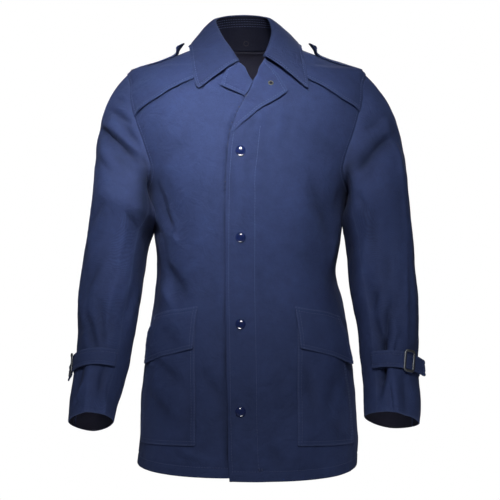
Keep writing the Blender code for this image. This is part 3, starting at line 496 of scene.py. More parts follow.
def fold_relief(folds, turn, height, radius):
    """How far the cloth stands out at a turn in degrees and a height, from soft folds with tapering ends."""
    total = np.zeros(np.broadcast(turn, height).shape)
    for fold in folds:
        a = np.array([fold.turn1 * radius * math.pi / 180, fold.height1])
        b = np.array([fold.turn2 * radius * math.pi / 180, fold.height2])
        along = b - a
        px = turn * radius * math.pi / 180 - a[0]
        pz = height - a[1]
        share = np.clip((px * along[0] + pz * along[1]) / (along @ along), 0, 1)
        away = np.hypot(px - share * along[0], pz - share * along[1])
        swell = 0.35 + 0.65 * np.sin(math.pi * np.clip(share, 0.02, 0.98))
        total += fold.rise * swell * np.exp(-((away / fold.width) ** 2))
    return total


# ---------------------------------------------------------------- the body's form

COLUMNS = {name: np.array([getattr(row, name) for row in BODY], float) for name in Level._fields}
RUNS = np.concatenate([[0], np.cumsum(np.hypot(np.diff(COLUMNS["half"]), np.diff(COLUMNS["height"])))])
FINE_RUN = np.linspace(0, RUNS[-1], 4000)
FINE_HEIGHT = smooth(RUNS, COLUMNS["height"], FINE_RUN)


def level(run, name):
    return smooth(RUNS, COLUMNS[name], run)


def run_at(height):
    """How far up the body's side line, measured along it, a height lies."""
    return np.interp(height, FINE_HEIGHT, FINE_RUN)


def ridge_run(x):
    """The run at which the shoulder's ridge has this x."""
    rows = COLUMNS["height"] > SHOULDER_TIP
    return np.interp(-x, -COLUMNS["half"][rows], RUNS[rows])


def plain_body(turn, run):
    """A point of the body's ring, turn in radians from the wearer's left over the front."""
    c, s = np.cos(turn), np.sin(turn)
    depth = np.where(s > 0, level(run, "front"), level(run, "back"))
    x = level(run, "half") * np.sign(c) * np.abs(c) ** (2 / level(run, "flat"))
    y = level(run, "middle") - depth * np.sign(s) * np.abs(s) ** (2 / level(run, "round"))
    return np.stack(np.broadcast_arrays(x + level(run, "shift"), y, level(run, "height")), axis=-1)


def body_normal(turn, run):
    step = 0.012
    across = plain_body(turn + step, run) - plain_body(turn - step, run)
    up = plain_body(turn, run + 1.5) - plain_body(turn, run - 1.5)
    return unit(np.cross(up, across))


def body(turn, run, lift=0.0):
    """A point on the body's cloth, lift above its outer face, with the large folds."""
    turn, run = np.broadcast_arrays(np.asarray(turn, float), np.asarray(run, float))
    degrees = np.degrees((turn + math.pi) % (2 * math.pi) - math.pi)
    degrees = np.where(degrees < -179.9, 180, degrees)
    plain = plain_body(turn, run)
    relief = fold_relief(BODY_FOLDS, degrees, plain[..., 2], BODY_RADIUS)
    return plain + body_normal(turn, run) * np.expand_dims(relief + lift, -1)


def turn_at(x, run):
    """The turn, on the front, at which the ring has this x."""
    away = np.asarray(x) - level(run, "shift")
    c = np.clip(np.abs(away) / level(run, "half"), 0, 1) ** (level(run, "flat") / 2)
    return np.where(away > 0, np.arccos(c), math.pi - np.arccos(c))


def on_body(outline):
    """An outline of (x, height) on the front as rows of (turn, run)."""
    outline = np.asarray(outline, float)
    run = run_at(outline[:, 1])
    return np.stack([turn_at(outline[:, 0], run), run], axis=1)


def armhole_turn(height, where):
    heights = [row.height for row in ARMHOLE]
    return np.radians(smooth(heights, [getattr(row, where) for row in ARMHOLE], height))


def front_edge(height, side):
    return smooth([row.height for row in FRONT_EDGES], [getattr(row, side) for row in FRONT_EDGES], height)


def overlap_rise(x, height):
    """How far the left front stands out where it lies over the right one, more where it crosses the lapel."""
    crossing = 2.6 * ease((height + 110) / 22) * ease((24 - x) / 14)
    return OVERLAP_RISE * ease((42 - x) / 24) * ease((-20 - height) / 40) + crossing * ease((-30 - height) / 25)


# Points of the body's outer face, for seating what lies on it.


# Points of the body's outer face, for seating what lies on it.
SCAN_TURN, SCAN_RUN = np.meshgrid(np.linspace(-math.pi, math.pi, 480), np.linspace(60, RUNS[-1] - 2, 300))
SCAN = body(SCAN_TURN, SCAN_RUN).reshape(-1, 3)
SCAN_NORMAL = body_normal(SCAN_TURN, SCAN_RUN).reshape(-1, 3)
SCAN_FINDER = KDTree(len(SCAN))
for scan_number, scan_point in enumerate(SCAN):
    SCAN_FINDER.insert(scan_point, scan_number)
SCAN_FINDER.balance()


def settle(points, lift):
    """The points, with those nearer to the body's face than lift moved out to it."""
    flat = points.reshape(-1, 3)
    nearest = np.array([SCAN_FINDER.find(point)[1] for point in flat])
    height = ((flat - SCAN[nearest]) * SCAN_NORMAL[nearest]).sum(axis=1)
    moved = flat + SCAN_NORMAL[nearest] * np.maximum(lift - height, 0)[:, None]
    return moved.reshape(points.shape)


# ---------------------------------------------------------------- the sleeves' form


def side_sign(side):
    return 1 if side == "left" else -1


def sleeve_ring(side, along, turn):
    """A point of a sleeve's ring: along its table from 0 to 1, turn in degrees from its outer side over the front."""
    rows = SLEEVES[side]
    places = np.linspace(0, 1, len(rows))
    got = {name: smooth(places, [getattr(row, name) for row in rows], along) for name in Ring._fields}
    lean, roll = np.radians(got["lean"]), np.radians(got["roll"])
    angle = np.radians(turn)
    power = 2 / got["square"]
    c = np.sign(np.cos(angle)) * np.abs(np.cos(angle)) ** power
    s = np.sign(np.sin(angle)) * np.abs(np.sin(angle)) ** power
    half = (got["outer"] - got["inner"]) / 2
    x = (got["outer"] + got["inner"]) / 2 + half * c
    y = got["middle"] - got["depth"] * s * np.cos(lean)
    z = got["height"] + half * c * np.tan(roll) + got["depth"] * s * np.sin(lean)
    return np.stack(np.broadcast_arrays(side_sign(side) * x, y, z), axis=-1)


def armhole_ring(side, heights):
    """The armhole seam's points, from the shoulder down the front and up the back, with each one's turn."""
    heights = np.asarray(heights, float)
    run = run_at(heights)
    front = body(armhole_turn(heights, "front"), run)
    back = body(-armhole_turn(heights, "back"), run)
    if side == "right":
        front = body(math.pi - armhole_turn(heights, "front"), run)
        back = body(-math.pi + armhole_turn(heights, "back"), run)
    ring = np.vstack([front, back[::-1][1:-1]])
    steps = np.linalg.norm(np.diff(np.vstack([ring, ring[:1]]), axis=0), axis=1)
    down = np.cumsum(steps)[: len(heights) - 1]
    up = np.cumsum(steps[len(heights) - 1 :])
    turns = np.concatenate([[0], 180 * down / down[-1], 180 + 180 * up[:-1] / up[-1]])
    return ring, turns


def sleeve_face(side, heights, cap_rows, lower_rows):
    """The sleeve's outer face as rows down it of points round it, and the turn of each column."""
    ring, turns = armhole_ring(side, heights)
    angle = np.radians(turns)
    out = np.stack([np.full_like(angle, side_sign(side)), -0.25 * np.sin(angle), np.zeros_like(angle)], axis=1)
    down = np.array([0, 0, -1.0])
    low = (1 - np.cos(angle)) / 2
    start_way = unit(out * (0.74 + 0.5 * low)[:, None] + down * (0.68 - 0.35 * low)[:, None])
    first = sleeve_ring(side, 0.0, turns)
    second = sleeve_ring(side, 0.04, turns)
    reach = np.linalg.norm(first - ring, axis=1, keepdims=True)
    start_way = start_way * reach * (1.15 - 0.6 * low[:, None])
    end_way = unit(second - first) * reach
    rows = []
    for u in np.linspace(0, 1, cap_rows + 1)[:-1]:
        rows.append(
            (2 * u**3 - 3 * u**2 + 1) * ring
            + (u**3 - 2 * u**2 + u) * start_way
            + (3 * u**2 - 2 * u**3) * first
            + (u**3 - u**2) * end_way
        )
    rows[0] = ring + unit(start_way) * SEAM
    for along in np.linspace(0, 1, lower_rows + 1):
        rows.append(sleeve_ring(side, along, turns))
    face = np.array(rows)
    normal = tube_normals(face)
    ease_in = ease(np.arange(len(face)) / (0.6 * cap_rows))[:, None]
    relief = fold_relief(SLEEVE_FOLDS[side], turns[None, :], face[..., 2], SLEEVE_RADIUS) * ease_in
    face = face + normal * relief[..., None]
    free = face[1:]
    below = free[..., 2] < ARMPIT - 3
    free[below] = settle(free[below], 2.2)
    return face, turns


def tube_normals(face):
    """Outward normals of a tube given as rings of points."""
    round_it = np.roll(face, -1, axis=1) - np.roll(face, 1, axis=1)
    along = np.gradient(face, axis=0)
    normal = unit(np.cross(along, round_it))
    centre = face.mean(axis=1, keepdims=True)
    return normal * np.sign(((face - centre) * normal).sum())


def trimmed(grid, gap=SEAM / 2):
    """A grid whose border is drawn in, so that two pieces with the same seam stand apart."""
    grid = np.array(grid)
    for edge, inner in ((0, 1), (-1, -2)):
        grid[edge] += unit(grid[inner] - grid[edge]) * gap
    for edge, inner in ((0, 1), (-1, -2)):
        grid[:, edge] += unit(grid[:, inner] - grid[:, edge]) * gap
    return grid


def patch(bottom, top, left, right, across, upward):
    """A grid between four border lines: bottom and top run from left to right, left and right run upwards."""
    u = across[None, :, None]
    v = upward[:, None, None]
    level_lines = (1 - v) * bottom[None] + v * top[None]
    upright_lines = (1 - u) * left[:, None] + u * right[:, None]
    corners = (1 - v) * ((1 - u) * bottom[0] + u * bottom[-1]) + v * ((1 - u) * top[0] + u * top[-1])
    return level_lines + upright_lines - corners


def grid_normals(grid, towards):
    """Unit normals of a grid of points, on the side that towards points to."""
    normal = unit(np.cross(np.gradient(grid, axis=0), np.gradient(grid, axis=1)))
    sign = np.sign((normal * towards).sum(axis=-1, keepdims=True))
    return normal * np.where(sign == 0, 1, sign)


def mirrored(outline, side):
    return [(side_sign(side) * x, z) for x, z in outline]


def over_shoulder(x, y):
    """Turn and run on top of the shoulder at x, and at y forwards (negative) or back of the ridge."""
    turns, runs = np.zeros_like(x), np.zeros_like(x)
    for k in np.ndindex(x.shape):
        run = ridge_run(x[k]) - np.linspace(0, 110, 160)
        turn = turn_at(np.full_like(run, x[k]), run)
        depth = np.where(y[k] < 0, level(run, "front"), level(run, "back"))
        away = depth * np.abs(np.sin(turn)) ** (2 / level(run, "round"))
        away = np.maximum.accumulate(away)
        runs[k] = np.interp(abs(y[k]), away, run)
        turns[k] = np.interp(abs(y[k]), away, turn) * (1 if y[k] < 0 else -1)
    return turns, runs


def sleeve_point(side, turn, height, lift):
    """A point over the lower sleeve at a turn and a height of its middle line, with the sleeve's folds."""
    heights = [row.height for row in SLEEVES[side]]
    along = np.interp(-np.asarray(height, float), [-h for h in heights], np.linspace(0, 1, len(heights)))
    turn, along = np.broadcast_arrays(np.asarray(turn, float), along)
    here = sleeve_ring(side, along, turn)
    round_it = sleeve_ring(side, along, turn + 1) - sleeve_ring(side, along, turn - 1)
    down = sleeve_ring(side, along + 0.01, turn) - sleeve_ring(side, along - 0.01, turn)
    normal = unit(np.cross(down, round_it)) * -side_sign(side)
    relief = fold_relief(SLEEVE_FOLDS[side], turn % 360, here[..., 2], SLEEVE_RADIUS)
    lifted = np.maximum(relief, -1) + lift
    return here + normal * np.expand_dims(lifted, -1), normal


# ---------------------------------------------------------------- creases, edges and shells


def crease_relief(creases, points, facing, depth):
    """How far the creases raise the cloth at each point, where facing says how far it looks at the viewer."""
    x, height = points[..., 0], points[..., 2]
    total = np.zeros(x.shape)
    for crease in creases:
        a = np.array([crease.x1, crease.height1], float)
        along = np.array([crease.x2, crease.height2]) - a
        px, pz = x - a[0], height - a[1]
        share = np.clip((px * along[0] + pz * along[1]) / (along @ along), 0, 1)
        away = np.hypot(px - share * along[0], pz - share * along[1])
        left = along[0] * pz - along[1] * px
        width = crease.width * (1.25 - 0.5 * ease(0.5 + left / (40 * np.linalg.norm(along))))
        swell = 0.2 + 0.8 * np.sin(math.pi * np.clip(0.04 + 0.92 * share, 0, 1))
        total += crease.rise * swell * np.exp(-((away / width) ** 1.6))
    return depth * total * ease((facing + 0.15) / 0.5)


def uneven(points):
    """Small waves in cloth, patchy and the same on each run."""
    total = np.zeros(points.shape[:-1])
    for number, wave in enumerate(UNEVEN):
        for k in range(4):
            turn = 2.4 * (4 * number + k)
            way = np.array([math.cos(turn), math.sin(turn) * 0.6, math.sin(turn) * 0.8 + 0.2])
            other = np.array([-way[2], way[0], way[1]])
            phase = points @ way * (2 * math.pi / wave.size) + 1.7 * k
            patch_phase = points @ other * (2 * math.pi / (wave.size * 1.9)) + 0.9 * k
            total += wave.rise * 0.5 * np.sin(phase) * np.sin(patch_phase)
    return total


def shares(length, spacing=GRID):
    """Places from 0 to 1 along a line of this length, closer beside both ends."""
    middle = np.linspace(NEAR_EDGE[-1], length - NEAR_EDGE[-1], max(2, round(length / spacing)))
    return np.concatenate([NEAR_EDGE[:-1], middle, length - NEAR_EDGE[-2::-1]]) / length


def fine(values, parts):
    """The values with each step between two of them split into parts."""
    last = len(values) - 1
    return np.interp(np.linspace(0, last, last * parts + 1), np.arange(last + 1), values)


# How each edge of a piece is finished: how far its face rolls down there, and where its rows of stitching are.
Edge4 = namedtuple("Edge4", "low high first last")
Finish = namedtuple("Finish", "roll rows")
PLAIN = Finish(0, ())
SEAM_EDGE = Finish(0.7, ())
TURNED = Finish(1.0, (EDGE_STITCH,))
DOUBLE_ROW = Finish(1.0, (CLOSE_STITCH, EDGE_STITCH + 1.5))
BARE_EDGE = Finish(1.0, ())
STITCH_LINES = []


def from_edges(face):
    """How far each point of a grid lies from its four borders, along the cloth."""
    down = np.linalg.norm(np.diff(face, axis=0), axis=2)
    across = np.linalg.norm(np.diff(face, axis=1), axis=2)
    low = np.vstack([np.zeros((1, face.shape[1])), np.cumsum(down, axis=0)])
    first = np.hstack([np.zeros((face.shape[0], 1)), np.cumsum(across, axis=1)])
    return Edge4(low, low[-1:] - low, first, first[:, -1:] - first)


def rounded(face, corners):
    """The grid with its corners drawn in to these radii: low first, low last, high first, high last."""
    away = from_edges(face)
    ways = unit(np.gradient(face, axis=0)), unit(np.gradient(face, axis=1))
    moved = face.copy()
    for number, radius in enumerate(corners):
        if radius:
            p = np.clip(1 - away[number // 2] / radius, 0, 1)[..., None]
            q = np.clip(1 - away[2 + number % 2] / radius, 0, 1)[..., None]
            moved += ways[0] * (1, -1)[number // 2] * p * radius * (1 - np.sqrt(1 - q * q / 2))
            moved += ways[1] * (1, -1)[number % 2] * q * radius * (1 - np.sqrt(1 - p * p / 2))
    return moved


def stitch_line(face, away, which, offset, ends):
    """A row of stitching on a grid, at offset from one border, stopping short of its neighbours by ends."""
    grid, distance = face, away[which]
    if which >= 2:
        grid, distance = face.transpose(1, 0, 2), distance.T
    if which % 2:
        grid, distance = grid[::-1], distance[::-1]
    line = np.array([
        [np.interp(offset, distance[:, k], grid[:, k, axis]) for axis in range(3)] for k in range(grid.shape[1])
    ])
    return shortened(line, *ends)


def shortened(line, start, stop):
    along = np.concatenate([[0], np.cumsum(np.linalg.norm(np.diff(line, axis=0), axis=1))])
    count = max(2, int((along[-1] - start - stop) / GRID))
    wanted = np.linspace(start, along[-1] - stop, count)
    return np.stack([np.interp(wanted, along, line[:, k]) for k in range(3)], axis=1)


def worked(face, normal, finishes, thickness):
    """The grid's outer and inner faces once its edges are rolled and its rows of stitching pull it down."""
    away = from_edges(face)
    drop = np.zeros(face.shape[:2])
    tuck = np.zeros(face.shape[:2])
    for which, finish in enumerate(finishes):
        distance = away[which]
        if finish.roll:
            near = 1 - np.clip(distance / (1.6 * finish.roll), 0, 1)
            drop -= finish.roll * (1 - np.sqrt(1 - near**2 * 0.98))
            tuck += 0.3 * thickness * near**2
        for row in finish.rows:
            drop -= 0.75 * np.exp(-(((distance - row) / 1.5) ** 2))
        if finish.rows:
            along = away[0 if which >= 2 else 2]
            pucker = np.sin(along * (2 * math.pi / 15)) * np.sin(along * (2 * math.pi / 41) + which)
            drop += 0.22 * pucker * np.exp(-distance / 9) + 0.2 * ease((finish.rows[-1] - distance) / 3)
    outer = face + normal * drop[..., None]
    inner = face + normal * (np.maximum(drop, -0.5 * thickness) - thickness + tuck)[..., None]
    for which, finish in enumerate(finishes):
        for row in finish.rows:
            sides = (finishes[2:], finishes[:2])[which >= 2]
            ends = [side.rows[0] if side.rows else 1.0 for side in sides]
            STITCH_LINES.append(stitch_line(outer + normal * 0.12, away, which, row, ends))
    return outer, inner, away


def add_shell(name, outer, inner, away, materials, relief, worn):
    """A closed shell between two grids, its inner face in the last material, with a UV map in metres of cloth."""
    rows, columns = outer.shape[:2]
    count = rows * columns
    place = np.arange(count).reshape(rows, columns)
    a, b = place[:-1, :-1].ravel(), place[:-1, 1:].ravel()
    c, d = place[1:, 1:].ravel(), place[1:, :-1].ravel()
    front = np.stack([a, b, c, d], axis=1)
    back = np.stack([d, c, b, a], axis=1) + count
    border = np.concatenate([place[0], place[1:, -1], place[-1, -2::-1], place[-2:0:-1, 0]])
    ahead = np.roll(border, -1)
    rim = np.stack([ahead, border, border + count, ahead + count], axis=1)
    faces = np.vstack([front, back, rim])
    points = np.vstack([outer.reshape(-1, 3), inner.reshape(-1, 3)])
    middle = len(front) // 2
    look = np.cross(points[front[:, 1]] - points[front[:, 0]], points[front[:, 3]] - points[front[:, 0]])
    outward = outer.reshape(-1, 3)[front[:, 0]] - inner.reshape(-1, 3)[front[:, 0]]
    if (look * outward).sum() < 0:
        faces = faces[:, ::-1]
    mesh = bpy.data.meshes.new(name)
    mesh.from_pydata(points / 1000, [], faces.tolist())
    mesh.shade_smooth()
    cloth = np.stack([away.first, away.low], axis=-1).reshape(-1, 2) / 1000
    cloth = np.vstack([cloth, cloth])
    corners = np.zeros(len(mesh.loops), int)
    mesh.loops.foreach_get("vertex_index", corners)
    mesh.uv_layers.new(name="cloth").data.foreach_set("uv", cloth[corners].astype(np.float32).ravel())
    nearest = np.minimum.reduce([np.broadcast_to(part, outer.shape[:2]) for part in away]).ravel()
    wear = mesh.attributes.new("edge", "FLOAT", "POINT")
    wear.data.foreach_set("value", (worn * np.exp(-np.concatenate([nearest, nearest]) / 2.5)).astype(np.float32))
    # The fold attribute holds the relief together with the painted shade and painted shadow terms, and the cloth's
    # colour reads it.
    raised = np.broadcast_to(relief, outer.shape[:2]).ravel()
    fold = mesh.attributes.new("fold", "FLOAT", "POINT")
    fold.data.foreach_set("value", np.concatenate([raised, raised]).astype(np.float32))
    for material in materials:
        mesh.materials.append(material)
    if len(materials) > 1:
        index = np.zeros(len(faces), np.int32)
        index[len(front) : 2 * len(front)] = 1
        mesh.polygons.foreach_set("material_index", index)
    made = bpy.data.objects.new(name, mesh)
    bpy.context.scene.collection.objects.link(made)
    return made


def add_cloth(node, face, towards, finishes, materials, thickness=SHELL, corners=(0, 0, 0, 0), relief=0.0, worn=1.0):
    """A piece of cloth that stands for a CAD node, from the grid of its outer face."""
    face = rounded(trimmed(face, 0.1), corners)
    normal = grid_normals(face, towards)
    outer, inner, away = worked(face, normal, finishes, thickness)
    made = add_shell(f"{node}_cloth", outer, inner, away, materials, relief, worn)
    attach(made, "root")
    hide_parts(node)
    return made, outer, away


def allowance(grid, normal, relief):
    """The grid with a row before its first one: a seam allowance, which lies under the piece it is sewn to."""
    row = grid[:1] - normal[:1] * 1.9 - unit(grid[1:2] - grid[:1]) * ALLOWANCE
    return np.concatenate([row, grid]), np.concatenate([normal[:1], normal]), np.concatenate([relief[:1], relief])


def side_allowances(grid, normal, relief):
    """The grid with a seam allowance along both of its upright sides."""
    grid, normal, relief = grid.transpose(1, 0, 2), normal.transpose(1, 0, 2), relief.T
    for _ in range(2):
        grid, normal, relief = allowance(grid, normal, relief)
        grid, normal, relief = grid[::-1], normal[::-1], relief[::-1]
    return grid.transpose(1, 0, 2), normal.transpose(1, 0, 2), relief.T


def body_cloth(node, turn, run, lift, finishes, materials, thickness=SHELL, corners=(0, 0, 0, 0), dent_and_painted_shadow=0.0, worn=1.0,
               sewn_under=False):
    """A piece that lies on the body, its outer face lift above the panels', with the creases and a dent of its own; the
    dent also darkens its colour as painted shadow, and the painted shade creases darken its colour between the sleeves
    and the body.
    """
    face = body(turn, run, lift)
    normal = body_normal(turn, run)
    relief = body_relief(face, normal) + dent_and_painted_shadow
    face = face + normal * relief[..., None]
    # The painted shade creases darken only the colour, through the fold attribute, and not the shape.
    relief = relief + crease_relief(PAINTED_SHADE_CREASES, face, -normal[..., 1] + 0.2, 1.0)
    if sewn_under:
        face, normal, relief = side_allowances(face, normal, relief)
    return add_cloth(node, face, normal, finishes, materials, thickness, corners, relief, worn)


def body_relief(points, normal):
    front = crease_relief(BODY_CREASES["front"], points, -normal[..., 1], CREASE_DEPTH["body"])
    back = crease_relief(BODY_CREASES["back"], points, normal[..., 1], CREASE_DEPTH["body"])
    return front + back + uneven(points) * ease((10 - points[..., 2]) / 30)


# ---------------------------------------------------------------- the pieces of cloth


def panel_grid(hem, armhole_side):
    """Runs of a panel's rows from its hem to the neck, their heights, and the turn at which each row begins."""
    upper = fine(ARMHOLE_ROWS + TOP_ROWS, 8)
    low_share = shares(ARMPIT - HEM_SIDE)[: -len(NEAR_EDGE)]
    low = run_at(hem)[None, :] + low_share[:, None] * (run_at(ARMPIT) - run_at(hem))[None, :]
    high = np.repeat(run_at(upper)[:, None], len(hem), axis=1)
    run = np.vstack([low, high])
    height = level(run[:, -1], "height")
    turn = armhole_turn(np.clip(height, ARMPIT, SHOULDER_TIP), armhole_side)
    return run, height, np.where((height > ARMPIT) & (height < SHOULDER_TIP), turn, 0)


def make_front(side, materials):
    share = shares(235)
    half = level(run_at(HEM_SIDE), "half")
    dip = HEM_DIP_LEFT if side == "left" else HEM_DIP_RIGHT
    edge = FRONT_EDGE if side == "left" else -UNDERLAP
    hem = HEM_SIDE - dip * (1 - ((edge + (half - edge) * (1 - share)) / half) ** 2)
    run, height, outer = panel_grid(hem, "front")
    inner = turn_at(front_edge(height, side), run[:, -1])
    if side == "right":
        outer = math.pi - outer
    turn = outer[:, None] + share[None, :] * (inner - outer)[:, None]
    plain = plain_body(turn, run)
    lift, dent_and_painted_shadow = 0.0, 0.0
    if side == "left":
        lift = overlap_rise(plain[..., 0], plain[..., 2])
    else:  # pressed in beside the left front's edge
        beside = plain[..., 0] - front_edge(plain[..., 2], "left")
        # Pressed in beside the left front's edge; through the fold attribute this also darkens the cloth there, as the
        # painted shadow of that edge.
        dent_and_painted_shadow = -10 * np.exp(-(((beside + 1.6) / 2.0) ** 2)) * ease((-62 - plain[..., 2]) / 14)
    finishes = Edge4(Finish(1.0, (HEM_DEPTH,)), PLAIN, SEAM_EDGE, Finish(1.0, (EDGE_STITCH,)))
    _, face, away = body_cloth(f"front_{side}", turn, run, lift, finishes, materials, dent_and_painted_shadow=dent_and_painted_shadow, worn=0.15)
    armhole = (height > ARMPIT + 3) & (height < SHOULDER_TIP - 6)
    sewn = stitch_line(face, away, 2, EDGE_STITCH, (0, 0))
    low, high = face[armhole][[0, -1], 0, 2]
    STITCH_LINES.append(sewn[(sewn[:, 2] > low) & (sewn[:, 2] < high)])
    if side == "left":
        for row in range(5):
            tack = np.array([[BARTACK[0] - 2.5, 0, BARTACK[1] + row], [BARTACK[0] + 2.5, 0, BARTACK[1] + row]])
            flat = face.reshape(-1, 3)
            near = ((flat[:, None, ::2] - tack[None, :, ::2]) ** 2).sum(axis=2).argmin(axis=0)
            tack[:, 1] = flat[near, 1] - 0.3
            STITCH_LINES.append(tack)
        placket = stitch_line(face, away, 3, PLACKET_WIDTH, (0, 0))
        STITCH_LINES.append(placket[(placket[:, 2] > HEM_SIDE + 8) & (placket[:, 2] < -146)])


def make_back(materials):
    share = shares(480)
    run, height, outer = panel_grid(np.full(len(share), float(HEM_SIDE)), "back")
    turn = -outer[:, None] - share[None, :] * (math.pi - 2 * outer)[:, None]
    finishes = Edge4(Finish(1.0, (HEM_DEPTH,)), PLAIN, PLAIN, PLAIN)
    _, face, away = body_cloth("back", turn, run, 0.0, finishes, materials, sewn_under=True)
    for which in (2, 3):
        sewn = stitch_line(face, away, which, EDGE_STITCH + ALLOWANCE, (0, 0))
        STITCH_LINES.append(sewn[(sewn[:, 2] > ARMPIT + 10) & (sewn[:, 2] < SHOULDER_TIP - 6)])


def patch_grid(low, top, first, last, across, upward):
    return patch(curve(low, across), curve(top, across), curve(first, upward), curve(last, upward), across, upward)


def make_yoke(side, materials):
    across, upward = shares(120), shares(75)
    armhole = np.linspace(YOKE_SIDE[side], SHOULDER_TIP - 0.5, 40)
    outer_side = np.stack([armhole_turn(armhole, "front") + 0.004, run_at(armhole)], axis=1)
    low_edge = np.vstack([on_body(YOKE_EDGE[side]), outer_side[:1]])
    top_edge = np.array([[0.03, ridge_run(YOKE_TOP_X)], [0.03, outer_side[-1, 1]]])
    inner_side = np.vstack([low_edge[:1], on_body(YOKE_HIDDEN), top_edge[:1]])
    outer_side[-1] = top_edge[-1]
    grid = patch(
        curve(low_edge, across),
        curve(top_edge, across),
        curve(inner_side, upward),
        even(outer_side, upward),
        across,
        upward,
    )
    turn, run = grid[..., 0], grid[..., 1]
    if side == "right":
        turn = math.pi - turn
    loose = 2.8 * (1 - upward[:, None]) ** 3 + 2.2 * ease((upward[:, None] - 0.55) / 0.35)
    sewn = ease((1 - across[None, :]) * 120 / 18)
    lift = SHELL + 0.25 + (LAY + loose + CLOTH - SHELL - 0.25) * sewn
    finishes = Edge4(Finish(1.1, (EDGE_STITCH,)), PLAIN, PLAIN, Finish(0.5, (EDGE_STITCH,)))
    body_cloth(f"yoke_{side}", turn, run, lift, finishes, materials)


def make_sleeve(side, materials):
    heights = fine(ARMHOLE_ROWS[::-1], 6)
    face, turns = sleeve_face(side, heights, 90, 150)
    face = np.concatenate([face, face[:, :1]], axis=1)
    turns = np.append(turns, 360.0)
    spans = {"sleeve_top": (BACK_SEAM - 360, FRONT_SEAM, 250), "sleeve_under": (FRONT_SEAM, BACK_SEAM, 235)}
    hem = NEAR_EDGE[::-1] / 4.0
    rows = np.concatenate([np.arange(len(face) - 1.0), len(face) - 1 - hem[1:]])
    rows = np.unique(np.round(rows, 4))
    face = np.stack([[np.interp(rows, np.arange(len(face)), face[:, k, n]) for k in range(face.shape[1])]
                     for n in range(3)], axis=-1).transpose(1, 0, 2)
    centre = face.mean(axis=1, keepdims=True)
    for name, (start, stop, length) in spans.items():
        wanted = start + shares(length) * (stop - start)
        part = np.stack([
            np.stack([np.interp(wanted % 360, turns, row[:, n]) for n in range(3)], axis=-1) for row in face
        ])
        normal = unit(np.cross(np.gradient(part, axis=0), np.gradient(part, axis=1)))
        normal *= np.sign((normal * (part - centre)).sum())
        creases = SLEEVE_CREASES[side]
        raised = crease_relief(creases["front"], part, -normal[..., 1], CREASE_DEPTH["sleeve"])
        raised += crease_relief(creases["back"], part, normal[..., 1], CREASE_DEPTH["sleeve"]) + uneven(part)
        raised *= ease(np.arange(len(part)) / 12)[:, None]
        part = part + normal * raised[..., None]
        # The painted shade creases darken only the colour, through the fold attribute, and not the shape.
        raised += crease_relief(PAINTED_SHADE_CREASES, part, 1.0, 1.0)
        finishes = Edge4(PLAIN, BARE_EDGE, SEAM_EDGE, SEAM_EDGE)
        if name == "sleeve_under":
            part, normal, raised = side_allowances(part, normal, raised)
            finishes = Edge4(PLAIN, BARE_EDGE, PLAIN, PLAIN)
        part, normal, raised = allowance(part, normal, raised)
        add_cloth(f"{name}_{side}", part, normal, finishes, materials, relief=raised)


def make_collar(leaf_materials, stand_materials):
    columns = shares(420, 2.6)
    place = columns * (len(COLLAR) - 1)
    fold, edge, neck = [spline([getattr(row, part) for row in COLLAR], place) for part in Turn._fields]
    outward = unit(np.cross(edge - fold, np.gradient(fold, axis=0)))
    away = ((fold + edge) / 2 - NECK_MIDDLE)[:, :2]
    outward *= np.sign((away * outward[:, :2]).sum(axis=1))[:, None]
    steps = shares(95, 2.6)[len(NEAR_EDGE) - 1 :]
    steps = (steps - steps[0]) / (1 - steps[0])
    bow = LEAF_BOW * np.sin(math.pi * steps**0.6)
    leaf = fold[None] + steps[:, None, None] * (edge - fold)[None] + bow[:, None, None] * outward[None]
    leaf = settle(leaf, LEAF_LIFT)
    radius = STAND_GAP / 2
    upward = -unit(leaf[1] - leaf[0])
    turned = [
        fold - outward * radius * (1 - math.cos(a)) + upward * radius * math.sin(a) for a in np.linspace(2.9, 0.35, 8)
    ]
    leaf = np.concatenate([np.array(turned), leaf])
    waves = uneven(leaf) * 0.6 + 0.8 * np.sin(np.arange(leaf.shape[1]) * 0.05)[None, :] * ease(np.arange(len(leaf)) / 60)[:, None]
    leaf += outward[None] * (waves * ease((np.arange(len(leaf)) - 8) / 12)[:, None])[..., None]
    finishes = Edge4(PLAIN, TURNED, TURNED, TURNED)
    # relief=-4.0 changes no shape: through the fold attribute it darkens the whole collar's colour, as painted shade.
    add_cloth("collar", leaf, outward[None] + 0 * leaf, finishes, leaf_materials, corners=(0, 0, 12, 12),
              relief=-4.0)
    part = slice(int(len(columns) * 0.085), -int(len(columns) * 0.085))
    top = (fold - STAND_GAP * outward)[part]
    steps = np.linspace(0, 1, 24)[:, None, None]
    foot = neck[part] * (0.96, 0.96, 1) - (0, 0, 3)
    stand = top[None] + steps * (foot - top)[None]
    towards = -outward[part][None] + 0 * stand
    made, face, away = add_cloth("collar_stand", stand, towards, Edge4(PLAIN, PLAIN, PLAIN, PLAIN), stand_materials)
    for row in range(4):
        STITCH_LINES.append(stitch_line(face + grid_normals(face, towards) * 0.15, away, 0, 6 + 4.5 * row, (40, 40)))


def make_neck_lining(materials):
    x = np.linspace(-74, 74, 44)
    run = np.repeat(run_at(np.linspace(-84, 13, 30))[:, None], len(x), axis=1)
    turn = -turn_at(np.repeat(x[None, :], 30, axis=0), run)
    normal = -body_normal(turn, run)
    face = body(turn, run, -2 * CLOTH - LAY) + normal * (CLOTH - SHELL)
    face += normal * np.maximum(-body_relief(body(turn, run), -normal), 0)[..., None]
    add_cloth("neck_lining", face, normal, Edge4(PLAIN, PLAIN, PLAIN, PLAIN), materials)


